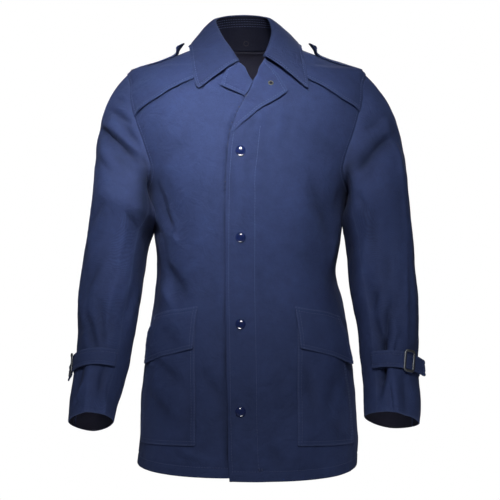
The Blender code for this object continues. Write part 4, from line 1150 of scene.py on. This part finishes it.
def make_lapel(side, materials):
    across, upward = shares(60, 2.6), shares(130, 2.6)
    fold, edge, top = on_body(LAPEL_FOLD[side]), on_body(LAPEL_EDGE[side]), on_body(LAPEL_TOP[side])
    grid = patch_grid(np.array([fold[0], edge[0]]), top, fold, edge, across, upward)
    turn, run = grid[..., 0], grid[..., 1]
    loose = LAY - 0.4 + CLOTH - SHELL + 1.4 * (1 - across[None, :]) ** 2 + 3.2 * across[None, :] ** 2
    foot = 0.45 if side == "left" else 0.2  # share of its length over which it leaves the front
    lift = SHELL + 0.3 + loose * ease(upward[:, None] / foot) + 0 * turn
    if side == "left":
        plain = plain_body(turn, run)
        lift = lift + overlap_rise(plain[..., 0], plain[..., 2])
    finishes = Edge4(BARE_EDGE, Finish(1.0, (EDGE_STITCH,)), Finish(2.2, ()), Finish(1.0, (EDGE_STITCH,)))
    body_cloth(f"lapel_{side}", turn, run, lift, finishes, materials, corners=(0, 0, 0, 5))


def make_pocket(side, materials):
    inner_low, outer_low = POCKET["inner"][1], POCKET["outer"][1]
    corners = [
        (POCKET["inner"][0], POCKET["top"]),
        (POCKET["outer"][0] - 2, POCKET["top"] + 2),
        (inner_low, POCKET["bottom"][0]),
        (outer_low, POCKET["bottom"][1]),
    ]
    top_in, top_out, low_in, low_out = on_body(mirrored(corners, side))
    across, upward = shares(100, 3.0), shares(205, 3.0)
    grid = patch_grid([low_in, low_out], [top_in, top_out], [low_in, top_in], [low_out, top_out], across, upward)
    fullness = np.sin(math.pi * across)[None, :] * np.sin(math.pi * upward)[:, None]
    finishes = Edge4(DOUBLE_ROW, PLAIN, DOUBLE_ROW, DOUBLE_ROW)
    body_cloth(f"pocket_{side}", grid[..., 0], grid[..., 1], LAY + 0.4 + 4.5 * fullness + CLOTH, finishes, materials, corners=(4, 4, 0, 0))


def make_flap(side, materials):
    top, low = on_body(mirrored(FLAP_TOP, side)), on_body(mirrored(FLAP_BOTTOM[side], side))
    across, upward = shares(100, 2.6), shares(90, 2.6)
    grid = patch_grid(low, top, [low[0], top[0]], [low[-1], top[-1]], across, upward)
    hang = 1 - upward[:, None]
    flare = 6 if side == "left" else 2
    lift = LAY + 2.9 * ease(hang / 0.4) + 2.0 * hang + flare * hang * across[None, :] ** 6 + DOUBLE
    finishes = Edge4(DOUBLE_ROW, DOUBLE_ROW, DOUBLE_ROW, DOUBLE_ROW)
    body_cloth(f"flap_{side}", grid[..., 0], grid[..., 1], lift, finishes, materials, DOUBLE, (3, 3, 1.5, 1.5))


def make_shoulder_strap(side, materials):
    along, across = shares(120, 2.6)[:, None], shares(44, 2.6)[None, :] - 0.5
    width = SHOULDER_STRAP[0] + (SHOULDER_STRAP[1] - SHOULDER_STRAP[0]) * along
    point = 12 * ease((along - 0.8) / 0.2) * (2 * np.abs(across)) ** 1.5
    x = 212 - 105 * along + point - 9 * (2 * across) ** 2 * (1 - along) ** 4
    y = across * width + 5 * (1 - along)
    turn, run = over_shoulder(x + 0 * y, y + 0 * x)
    if side == "right":
        turn = math.pi - turn
    rise = 15 * ease((along - 0.7) / 0.34) ** 1.3
    seat = 2.9 - 2.3 * ease((y + 2) / 12) * (1 - ease(along / 0.35))
    lift = seat + 2.8 * ease(along / 0.35) + rise + DOUBLE + 0 * turn
    finishes = Edge4(SEAM_EDGE, TURNED, TURNED, TURNED)
    body_cloth(f"shoulder_strap_{side}", turn, run, lift, finishes, materials, DOUBLE, (0, 0, 7, 7))


def strap_cloth(node, side, turns, lift, width, drop, finishes, materials, thickness, corners=(0, 0, 0, 0)):
    up = (shares(width, 2.4)[:, None] - 0.5) * width
    face, normal = sleeve_point(side, turns[None, :], STRAP_HEIGHT[side] + up - drop, lift + thickness)
    add_cloth(node, face, normal, finishes, materials, thickness, corners)


def make_cuff_strap(side, materials):
    buckle = BUCKLE_TURN[side]
    turns = STRAP_START[side] + shares(175, 2.4) * (buckle - 36 - STRAP_START[side])
    past = np.clip((buckle - 8 - turns) / 26, 0, 1)
    lift = CLOTH + 1.5 + TAIL[side] * past[None, :] ** 1.6
    finishes = Edge4(TURNED, TURNED, SEAM_EDGE, TURNED)
    strap_cloth(f"cuff_strap_{side}", side, turns, lift, STRAP_WIDTH, 4 * past[None, :] ** 1.4, finishes, materials, DOUBLE,
                (0, 7, 0, 7))


def make_cuff_tab(side, materials):
    start, stop = BUCKLE_TURN[side] + 6, BACK_SEAM - 357
    turns = start + shares(90, 2.6) * (stop - start)
    finishes = Edge4(BARE_EDGE, BARE_EDGE, BARE_EDGE, SEAM_EDGE)
    strap_cloth(f"cuff_tab_{side}", side, turns, 0.8, STRAP_WIDTH - 6, 0.0, finishes, materials, CLOTH)


# ---------------------------------------------------------------- buttons, buckles and other fittings


def turned_solid(name, profile, foot, way, sides, material):
    """A solid of (radius, height) rows turned round the line that stands out of foot."""
    across = unit(np.cross(way, [0, 0.02, 1.0]))
    up = np.cross(across, way)
    angles = np.linspace(0, 2 * math.pi, sides, endpoint=False)
    circle = np.cos(angles)[:, None] * across + np.sin(angles)[:, None] * up
    rings = [foot + radius * circle + way * height for radius, height in profile]
    points = np.vstack(rings)
    faces = []
    for ring in range(len(rings) - 1):
        for k in range(sides):
            n = (k + 1) % sides
            faces.append((ring * sides + k, ring * sides + n, (ring + 1) * sides + n, (ring + 1) * sides + k))
    faces.append(tuple(range(sides))[::-1])
    faces.append(tuple((len(rings) - 1) * sides + k for k in range(sides)))
    return solid(name, points, faces, material)


def solid(name, points, faces, material):
    mesh = bpy.data.meshes.new(name)
    mesh.from_pydata((np.asarray(points) / 1000).tolist(), [], faces)
    shape = bmesh.new()
    shape.from_mesh(mesh)
    bmesh.ops.recalc_face_normals(shape, faces=shape.faces)
    shape.to_mesh(mesh)
    shape.free()
    mesh.shade_smooth()
    mesh.set_sharp_from_angle(angle=math.radians(45))
    mesh.materials.append(material)
    made = bpy.data.objects.new(name, mesh)
    bpy.context.scene.collection.objects.link(made)
    return made


def add_fitting(made, node=None):
    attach(made, "root")
    if node:
        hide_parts(node)


def make_button(number, material):
    """A domed cap with a rolled rim and a shallow ring pressed round its dome."""
    low, high = (np.array(corner) * 1000 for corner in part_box(f"button_{number}"))
    front = bpy.data.objects["front_left_cloth"].data
    height = BUTTON_TOP - BUTTON_PITCH * (number - 1)
    near = FRONT_FINDER.find(Vector((BUTTON_X, (low[1] + high[1]) / 2, height)))
    way = unit(np.array(front.vertices[near[1]].normal))
    foot = np.array([BUTTON_X, near[0][1], height]) + way * 0.1
    rim = BUTTON_RADIUS
    profile = [(rim - 1.4, 0.0), (rim - 0.6, 0.1), (rim - 0.1, 0.9), (rim, 1.8), (rim - 0.2, 2.5), (rim - 0.7, 2.95)]
    profile += [(rim - 1.2, 2.9), (rim - 1.5, 2.75)]
    for a in np.linspace(0, 1, 9)[:-1]:
        angle = a * math.pi / 2
        profile.append(((rim - 1.9) * math.cos(angle), 2.7 + 1.7 * math.sin(angle)))
    add_fitting(turned_solid(f"button_{number}_cap", profile, foot, way, 40, material), f"button_{number}")


def swept_ring(name, path, normals, section, material):
    """A closed tube along a loop of points, where normals stand out of the loop's plane."""
    path, normals = np.asarray(path), np.asarray(normals)
    ahead = np.roll(path, -1, axis=0) - np.roll(path, 1, axis=0)
    sideways = unit(np.cross(ahead, normals))
    points = np.concatenate([path[:, None] + sideways[:, None] * s + normals[:, None] * h for s, h in section], axis=1)
    n, m = len(path), len(section)
    faces = []
    for i in range(n):
        for j in range(m):
            k = (i + 1) % n
            faces.append((i * m + j, i * m + (j + 1) % m, k * m + (j + 1) % m, k * m + j))
    return solid(name, points.reshape(-1, 3), faces, material)


def oval(width, height, sides):
    return [(width * math.cos(a), height * math.sin(a)) for a in np.linspace(0, 2 * math.pi, sides, endpoint=False)]


def make_buckle(side, material):
    """A frame with round corners, bent a little round the sleeve, on the strap."""
    middle, way = sleeve_point(side, float(BUCKLE_TURN[side]), float(STRAP_HEIGHT[side]), 0)
    ahead, _ = sleeve_point(side, BUCKLE_TURN[side] + 2.0, float(STRAP_HEIGHT[side]), 0)
    round_it = unit(ahead - middle)
    way = unit(way - round_it * (way @ round_it))
    along = np.cross(round_it, way)
    centre = middle + way * BUCKLE_LIFT
    if side == "left":  # the photo shows this buckle tipped towards the front
        way = unit(way + np.array([0, -0.35, 0]))
        round_it = unit(round_it - way * (way @ round_it))
        along = np.cross(round_it, way)
        centre = centre + np.array([-2.0, -3.0, 0])
    half_round, half_along = BUCKLE[0] / 2 - BUCKLE_BAR / 2, BUCKLE[1] / 2 - BUCKLE_BAR / 2
    path = []
    for quarter, (sx, sy) in enumerate(((1, 1), (-1, 1), (-1, -1), (1, -1))):
        for a in np.linspace(0, math.pi / 2, 8) + quarter * math.pi / 2:
            px = sx * (half_round - BUCKLE_CORNER) + BUCKLE_CORNER * math.cos(a)
            py = sy * (half_along - BUCKLE_CORNER) + BUCKLE_CORNER * math.sin(a)
            bend = 0.8 - 1.6 * (px / half_round) ** 2
            path.append(centre + round_it * px + along * py + way * bend)
    made = swept_ring(f"buckle_{side}_frame", path, [way] * len(path), oval(BUCKLE_BAR / 2, BUCKLE_DEPTH / 2, 14), material)
    add_fitting(made, f"buckle_{side}")


def ring_at(name, x, height, finder, mesh, radius, wire, material, lift):
    """A small ring of metal that lies on a piece of cloth at x and height."""
    near = min(
        (found for found in finder.find_range(Vector((x, 0, height)), 220) if abs(found[0][0] - x) < 3),
        key=lambda found: math.hypot(found[0][0] - x, found[0][2] - height),
    )
    way = unit(np.array(mesh.vertices[near[1]].normal))
    centre = np.array([x, near[0][1], height]) + way * lift
    across = unit(np.cross(way, [0, 0, 1.0]))
    up = np.cross(across, way)
    angles = np.linspace(0, 2 * math.pi, 32, endpoint=False)
    path = [centre + radius * (math.cos(a) * across + math.sin(a) * up) for a in angles]
    made = swept_ring(name, path, [way] * len(path), oval(wire, wire * 0.7, 10), material)
    return made, centre, way


def point_finder(name):
    """Finds the nearest point of a piece's outer face, in millimetres."""
    mesh = bpy.data.objects[name].data
    tree = KDTree(len(mesh.vertices) // 2)
    for k in range(len(mesh.vertices) // 2):
        tree.insert(mesh.vertices[k].co * 1000, k)
    tree.balance()
    return tree


# ---------------------------------------------------------------- stitching


def stitch_tree(material):
    """Geometry Nodes that lay one stitch at even steps along every line of a mesh of edges."""
    tree = bpy.data.node_groups.new("stitch_rows", "GeometryNodeTree")
    tree.interface.new_socket("Geometry", in_out="INPUT", socket_type="NodeSocketGeometry")
    for label, value in (("Pitch", STITCH_PITCH), ("Stitch length", STITCH[0]), ("Thread", STITCH[1])):
        tree.interface.new_socket(label, in_out="INPUT", socket_type="NodeSocketFloat").default_value = value / 1000
    tree.interface.new_socket("Geometry", in_out="OUTPUT", socket_type="NodeSocketGeometry")
    source = add_node(tree, "NodeGroupInput")
    lines = add_node(tree, "GeometryNodeMeshToCurve", Mesh=source.outputs["Geometry"])
    steps = add_node(tree, "GeometryNodeResampleCurve", {"mode": "LENGTH"}, Curve=lines.outputs[0], Length=source.outputs["Pitch"])
    ball = add_node(tree, "GeometryNodeMeshUVSphere", Segments=6, Rings=4, Radius=0.5)
    size = add_node(tree, "ShaderNodeCombineXYZ", X=source.outputs["Stitch length"], Y=source.outputs["Thread"], Z=source.outputs["Thread"])
    stitch = add_node(tree, "GeometryNodeTransform", Geometry=ball.outputs["Mesh"], Scale=size.outputs[0])
    smooth_stitch = add_node(tree, "GeometryNodeSetShadeSmooth", Geometry=stitch.outputs[0])
    tangent = add_node(tree, "GeometryNodeInputTangent")
    turn = add_node(tree, "FunctionNodeAlignRotationToVector", {"axis": "X"}, Vector=tangent.outputs[0])
    placed = add_node(
        tree, "GeometryNodeInstanceOnPoints", Points=steps.outputs[0], Instance=smooth_stitch.outputs[0], Rotation=turn.outputs[0]
    )
    real = add_node(tree, "GeometryNodeRealizeInstances", Geometry=placed.outputs[0])
    thread = add_node(tree, "GeometryNodeSetMaterial", Geometry=real.outputs[0])
    thread.inputs["Material"].default_value = material
    add_node(tree, "NodeGroupOutput", Geometry=thread.outputs[0])
    return tree


def make_stitching(material):
    points = np.vstack(STITCH_LINES) / 1000
    edges = []
    start = 0
    for line in STITCH_LINES:
        edges += [(start + k, start + k + 1) for k in range(len(line) - 1)]
        start += len(line)
    mesh = bpy.data.meshes.new("stitch_lines")
    mesh.from_pydata(points.tolist(), edges, [])
    lines = bpy.data.objects.new("stitch_lines", mesh)
    bpy.context.scene.collection.objects.link(lines)
    rows = lines.modifiers.new("rows", "NODES")
    rows.node_group = stitch_tree(material)
    sewn = bpy.data.meshes.new_from_object(lines.evaluated_get(bpy.context.evaluated_depsgraph_get()))
    bpy.data.objects.remove(lines)
    sewn.name = "stitching"
    made = bpy.data.objects.new("stitching", sewn)
    bpy.context.scene.collection.objects.link(made)
    add_fitting(made)


# ---------------------------------------------------------------- materials


def linear(colour):
    """A colour written as sRGB hex, as linear red, green, blue and alpha."""
    parts = [int(colour[k : k + 2], 16) / 255 for k in (1, 3, 5)]
    return tuple(p / 12.92 if p <= 0.04045 else ((p + 0.055) / 1.055) ** 2.4 for p in parts) + (1.0,)


def add_node(tree, kind, settings=None, **inputs):
    """A node with its settings, and each input set to a value or linked to a socket."""
    node = tree.nodes.new(kind)
    for name, value in (settings or {}).items():
        setattr(node, name, value)
    for name, value in inputs.items():
        socket = node.inputs[int(name[1:])] if name[0] == "i" and name[1:].isdigit() else node.inputs[name.replace("_", " ")]
        if isinstance(value, bpy.types.NodeSocket):
            tree.links.new(value, socket)
        else:
            socket.default_value = value
    return node


def new_material(name, roughness, **sockets):
    made = bpy.data.materials.new(name)
    made.use_nodes = True
    shader = made.node_tree.nodes["Principled BSDF"]
    shader.inputs["Roughness"].default_value = roughness
    for label, value in sockets.items():
        shader.inputs[label.replace("_", " ")].default_value = value
    return made, made.node_tree, shader


def twill(name, thread, shade, worn, twill_pitch, sheen=0.06, roughness=0.82):
    """Cotton gabardine: fine steep diagonal ribs, a faint mottle from the yarn and washing, edges worn a little.

    The cloth is lighter on the ridges of its folds, as wear, and darker in their troughs, as painted shade, read from
    the fold attribute, which tells folds from flat cloth.
    """
    made, tree, shader = new_material(name, roughness, Sheen_Weight=sheen, Sheen_Roughness=0.5, Specular_IOR_Level=0.25)
    shader.inputs["Sheen Tint"].default_value = linear("#8f9bd0")
    place = add_node(tree, "ShaderNodeTexCoord")
    turned = add_node(tree, "ShaderNodeMapping", Vector=place.outputs["UV"], Rotation=(0, 0, math.radians(-28)))
    rib = add_node(
        tree, "ShaderNodeTexWave", {"wave_type": "BANDS", "bands_direction": "X"}, Vector=turned.outputs[0],
        Scale=2 * math.pi / (20 * twill_pitch / 1000), Distortion=0.6, Detail=1.0,
    )
    yarn = add_node(tree, "ShaderNodeTexNoise", Vector=place.outputs["UV"], Scale=620.0, Detail=3.0, Roughness=0.65)
    mottle = add_node(tree, "ShaderNodeTexNoise", Vector=place.outputs["Object"], Scale=45.0, Detail=6.0, Roughness=0.7)
    wash = add_node(tree, "ShaderNodeTexNoise", Vector=place.outputs["Object"], Scale=5.5, Detail=2.0)
    rib_colour = add_node(tree, "ShaderNodeMix", {"data_type": "RGBA"}, i0=rib.outputs["Fac"], i6=linear(shade), i7=linear(thread))
    speck = add_node(tree, "ShaderNodeMapRange", Value=yarn.outputs["Fac"], From_Min=0.3, From_Max=0.7, To_Min=0.86, To_Max=1.12)
    patches = add_node(tree, "ShaderNodeMapRange", Value=mottle.outputs["Fac"], From_Min=0.3, From_Max=0.7, To_Min=0.88, To_Max=1.12)
    broad = add_node(tree, "ShaderNodeMapRange", Value=wash.outputs["Fac"], From_Min=0.3, From_Max=0.7, To_Min=0.95, To_Max=1.05)
    first = add_node(tree, "ShaderNodeMath", {"operation": "MULTIPLY"}, i0=speck.outputs[0], i1=patches.outputs[0])
    both = add_node(tree, "ShaderNodeMath", {"operation": "MULTIPLY"}, i0=first.outputs[0], i1=broad.outputs[0])
    # Colour from the fold attribute: lighter on ridges, as wear, and darker in troughs and under the painted shade and
    # shadow terms it carries, as painted shade.
    fold = add_node(tree, "ShaderNodeAttribute", {"attribute_name": "fold"})
    wear_and_painted_shade = add_node(tree, "ShaderNodeMapRange", Value=fold.outputs["Fac"], From_Min=-14.0, From_Max=9.0, To_Min=0.4, To_Max=1.33)
    all_three = add_node(tree, "ShaderNodeMath", {"operation": "MULTIPLY"}, i0=both.outputs[0], i1=wear_and_painted_shade.outputs[0])
    toned = add_node(tree, "ShaderNodeVectorMath", {"operation": "SCALE"}, i0=rib_colour.outputs[2], Scale=all_three.outputs[0])
    edge = add_node(tree, "ShaderNodeAttribute", {"attribute_name": "edge"})
    wear = add_node(tree, "ShaderNodeMath", {"operation": "MULTIPLY"}, i0=edge.outputs["Fac"], i1=0.24)
    colour = add_node(tree, "ShaderNodeMix", {"data_type": "RGBA"}, i0=wear.outputs[0], i6=toned.outputs[0], i7=linear(worn))
    tree.links.new(colour.outputs[2], shader.inputs["Base Color"])
    raised = add_node(tree, "ShaderNodeBump", Height=rib.outputs["Fac"], Strength=0.12, Distance=0.0002)
    rough = add_node(tree, "ShaderNodeBump", Height=yarn.outputs["Fac"], Strength=0.25, Distance=0.0003, Normal=raised.outputs[0])
    crumple = add_node(
        tree, "ShaderNodeTexNoise", Vector=place.outputs["Object"], Scale=30.0, Detail=4.0, Roughness=0.6, Distortion=0.8
    )
    soft = add_node(tree, "ShaderNodeBump", Height=crumple.outputs["Fac"], Strength=0.5, Distance=0.006, Normal=rough.outputs[0])
    tree.links.new(soft.outputs[0], shader.inputs["Normal"])
    return made


def satin_lining():
    """Viscose lining: close plain weave, near black, with a faint gloss along its folds."""
    made, tree, shader = new_material("viscose_lining", 0.55, Specular_IOR_Level=0.35)
    place = add_node(tree, "ShaderNodeTexCoord")
    cloud = add_node(tree, "ShaderNodeTexNoise", Vector=place.outputs["Object"], Scale=40.0, Detail=3.0)
    tone = add_node(tree, "ShaderNodeMix", {"data_type": "RGBA"}, i0=cloud.outputs["Fac"], i6=linear("#2b2b3a"), i7=linear("#363647"))
    tree.links.new(tone.outputs[2], shader.inputs["Base Color"])
    weave = add_node(tree, "ShaderNodeTexNoise", Vector=place.outputs["UV"], Scale=900.0, Detail=1.0)
    bump = add_node(tree, "ShaderNodeBump", Height=weave.outputs["Fac"], Strength=0.2, Distance=0.0002)
    tree.links.new(bump.outputs[0], shader.inputs["Normal"])
    return made


def thread_material():
    """Spun polyester thread, a shade lighter than the cloth, with a soft gloss along each stitch."""
    made, tree, shader = new_material("navy_thread", 0.7, Specular_IOR_Level=0.3)
    place = add_node(tree, "ShaderNodeTexCoord")
    ply = add_node(tree, "ShaderNodeTexNoise", Vector=place.outputs["Object"], Scale=1500.0, Detail=1.0)
    tone = add_node(tree, "ShaderNodeMix", {"data_type": "RGBA"}, i0=ply.outputs["Fac"], i6=linear("#3d4870"), i7=linear("#5b6792"))
    tree.links.new(tone.outputs[2], shader.inputs["Base Color"])
    return made


def enamelled_cap():
    """Enamelled snap cap: smooth deep navy enamel under a clear coat, so lights show in it as sharp windows."""
    made, tree, shader = new_material("navy_enamel", 0.12, Coat_Weight=0.8, Coat_Roughness=0.04, Specular_IOR_Level=0.6)
    place = add_node(tree, "ShaderNodeTexCoord")
    depth = add_node(tree, "ShaderNodeTexNoise", Vector=place.outputs["Object"], Scale=240.0, Detail=2.0)
    tone = add_node(tree, "ShaderNodeMix", {"data_type": "RGBA"}, i0=depth.outputs["Fac"], i6=linear("#111d4a"), i7=linear("#1d2c63"))
    tree.links.new(tone.outputs[2], shader.inputs["Base Color"])
    return made


def plated(name, dark, light, roughness):
    """Plated zinc casting: dark grey metal, rubbed brighter in fine patches."""
    made, tree, shader = new_material(name, roughness, Metallic=1.0)
    place = add_node(tree, "ShaderNodeTexCoord")
    rubbed = add_node(tree, "ShaderNodeTexNoise", Vector=place.outputs["Object"], Scale=420.0, Detail=4.0)
    tone = add_node(tree, "ShaderNodeMix", {"data_type": "RGBA"}, i0=rubbed.outputs["Fac"], i6=linear(dark), i7=linear(light))
    tree.links.new(tone.outputs[2], shader.inputs["Base Color"])
    bump = add_node(tree, "ShaderNodeBump", Height=rubbed.outputs["Fac"], Strength=0.15, Distance=0.0002)
    tree.links.new(bump.outputs[0], shader.inputs["Normal"])
    return made


# ---------------------------------------------------------------- the coat and its studio

SIDES = ("left", "right")


def make_coat(under):
    navy = twill("navy_gabardine", "#33416b", "#2f3b64", "#55638f", 1.2)
    lining = satin_lining()
    for side in SIDES:
        make_front(side, [navy, lining])
        make_sleeve(side, [navy, lining])
        make_yoke(side, [navy])
        make_pocket(side, [navy])
        make_flap(side, [navy])
        make_shoulder_strap(side, [navy])
        make_cuff_strap(side, [navy])
        make_cuff_tab(side, [navy])
        make_lapel(side, [navy])
    make_back([navy, lining])
    make_collar([navy], [under])
    make_neck_lining([lining])


def add_light(name, place, target, size, power, spread):
    lamp = bpy.data.lights.new(name, "AREA")
    lamp.shape = "RECTANGLE"
    lamp.size, lamp.size_y = size
    lamp.energy = power
    lamp.spread = math.radians(spread)
    made = bpy.data.objects.new(name, lamp)
    made.location = place
    made.rotation_euler = (Vector(target) - Vector(place)).to_track_quat("-Z", "Y").to_euler()
    bpy.context.scene.collection.objects.link(made)


def make_studio():
    scene = bpy.context.scene
    scene.view_settings.view_transform = "Standard"
    lens = bpy.data.cameras.new("camera")
    lens.lens = CAMERA_LENS
    camera = bpy.data.objects.new("camera", lens)
    camera.location = CAMERA_PLACE
    camera.rotation_euler = (math.pi / 2, 0, 0)
    scene.collection.objects.link(camera)
    scene.camera = camera
    world = bpy.data.worlds.new("studio")
    world.use_nodes = True
    shade = world.node_tree.nodes["Background"]
    seen = add_node(world.node_tree, "ShaderNodeLightPath")
    strength = add_node(world.node_tree, "ShaderNodeMapRange", Value=seen.outputs["Is Camera Ray"], To_Min=0.05, To_Max=1.0)
    shade.inputs["Color"].default_value = (1, 1, 1, 1)
    world.node_tree.links.new(strength.outputs[0], shade.inputs["Strength"])
    scene.world = world
    add_light("key", (-0.05, -1.75, 0.85), (-0.09, -0.12, -0.12), (0.4, 0.3), 0.8, 18)
    add_light("front", (0.0, -2.3, 1.0), (0, 0, -0.6), (0.8, 0.6), 12.0, 120)
    add_light("top", (-0.1, -0.9, 1.3), (-0.02, -0.05, -0.4), (0.9, 0.4), 0.4, 80)
    add_light("back", (0.4, 2.2, 1.0), (0, 0.1, -0.4), (1.2, 0.8), 9.0, 120)
    for side in SIDES:  # into the cuffs from below
        x = side_sign(side) * 0.26
        add_light(f"cuff_{side}", (x, -0.8, -1.3), (x, -0.05, -0.66), (0.12, 0.1), 0.04, 14)
    mesh = bpy.data.meshes.new("floor")
    reach, depth = 3.0, -1.7
    mesh.from_pydata([(-reach, -reach, depth), (reach, -reach, depth), (reach, reach, depth), (-reach, reach, depth)], [], [(0, 1, 2, 3)])
    paper, tree, shader = new_material("pale_paper", 0.9)
    shader.inputs["Base Color"].default_value = linear("#f4f4f4")
    shader.inputs["Emission Color"].default_value = linear("#f4f4f4")
    camera_ray = add_node(tree, "ShaderNodeLightPath")
    tree.links.new(camera_ray.outputs["Is Camera Ray"], shader.inputs["Emission Strength"])
    mesh.materials.append(paper)
    floor = bpy.data.objects.new("floor", mesh)
    scene.collection.objects.link(floor)


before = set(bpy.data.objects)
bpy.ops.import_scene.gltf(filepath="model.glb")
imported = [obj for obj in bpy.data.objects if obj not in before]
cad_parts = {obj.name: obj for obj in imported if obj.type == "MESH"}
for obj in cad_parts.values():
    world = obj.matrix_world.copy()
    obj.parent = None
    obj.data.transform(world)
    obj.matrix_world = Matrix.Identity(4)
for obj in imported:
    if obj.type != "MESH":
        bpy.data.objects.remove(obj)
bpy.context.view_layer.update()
under = twill("navy_undercollar", "#14162a", "#101222", "#20243a", 1.2, sheen=0.0)
make_coat(under)
FRONT_FINDER = point_finder("front_left_cloth")
cap = enamelled_cap()
for number in range(1, BUTTON_COUNT + 1):
    make_button(number, cap)
gunmetal = plated("gunmetal", "#5d6066", "#989ba0", 0.5)
for side in SIDES:
    make_buckle(side, gunmetal)
brass = plated("oxidised_brass", "#55544b", "#8f8d80", 0.5)
eyelet, eyelet_middle, eyelet_way = ring_at("lapel_eyelet", 43, -68, point_finder("lapel_left_cloth"), bpy.data.objects["lapel_left_cloth"].data, 3.8, 1.2, brass, 0.5)
add_fitting(eyelet)
# A dark disc inside the eyelet's ring stands for its hole: painted shade.
eyelet_shade_disc = turned_solid("lapel_eyelet_painted_shade", [(3.0, 0), (3.0, 0.3)], eyelet_middle, eyelet_way, 24, under)
add_fitting(eyelet_shade_disc)
steel = plated("dull_steel", "#232327", "#45454a", 0.55)
snap, _, _ = ring_at("neck_snap", -1, 26, point_finder("collar_stand_cloth"), bpy.data.objects["collar_stand_cloth"].data, 4.2, 0.7, steel, 0.6)
add_fitting(snap)
make_stitching(thread_material())
make_studio()
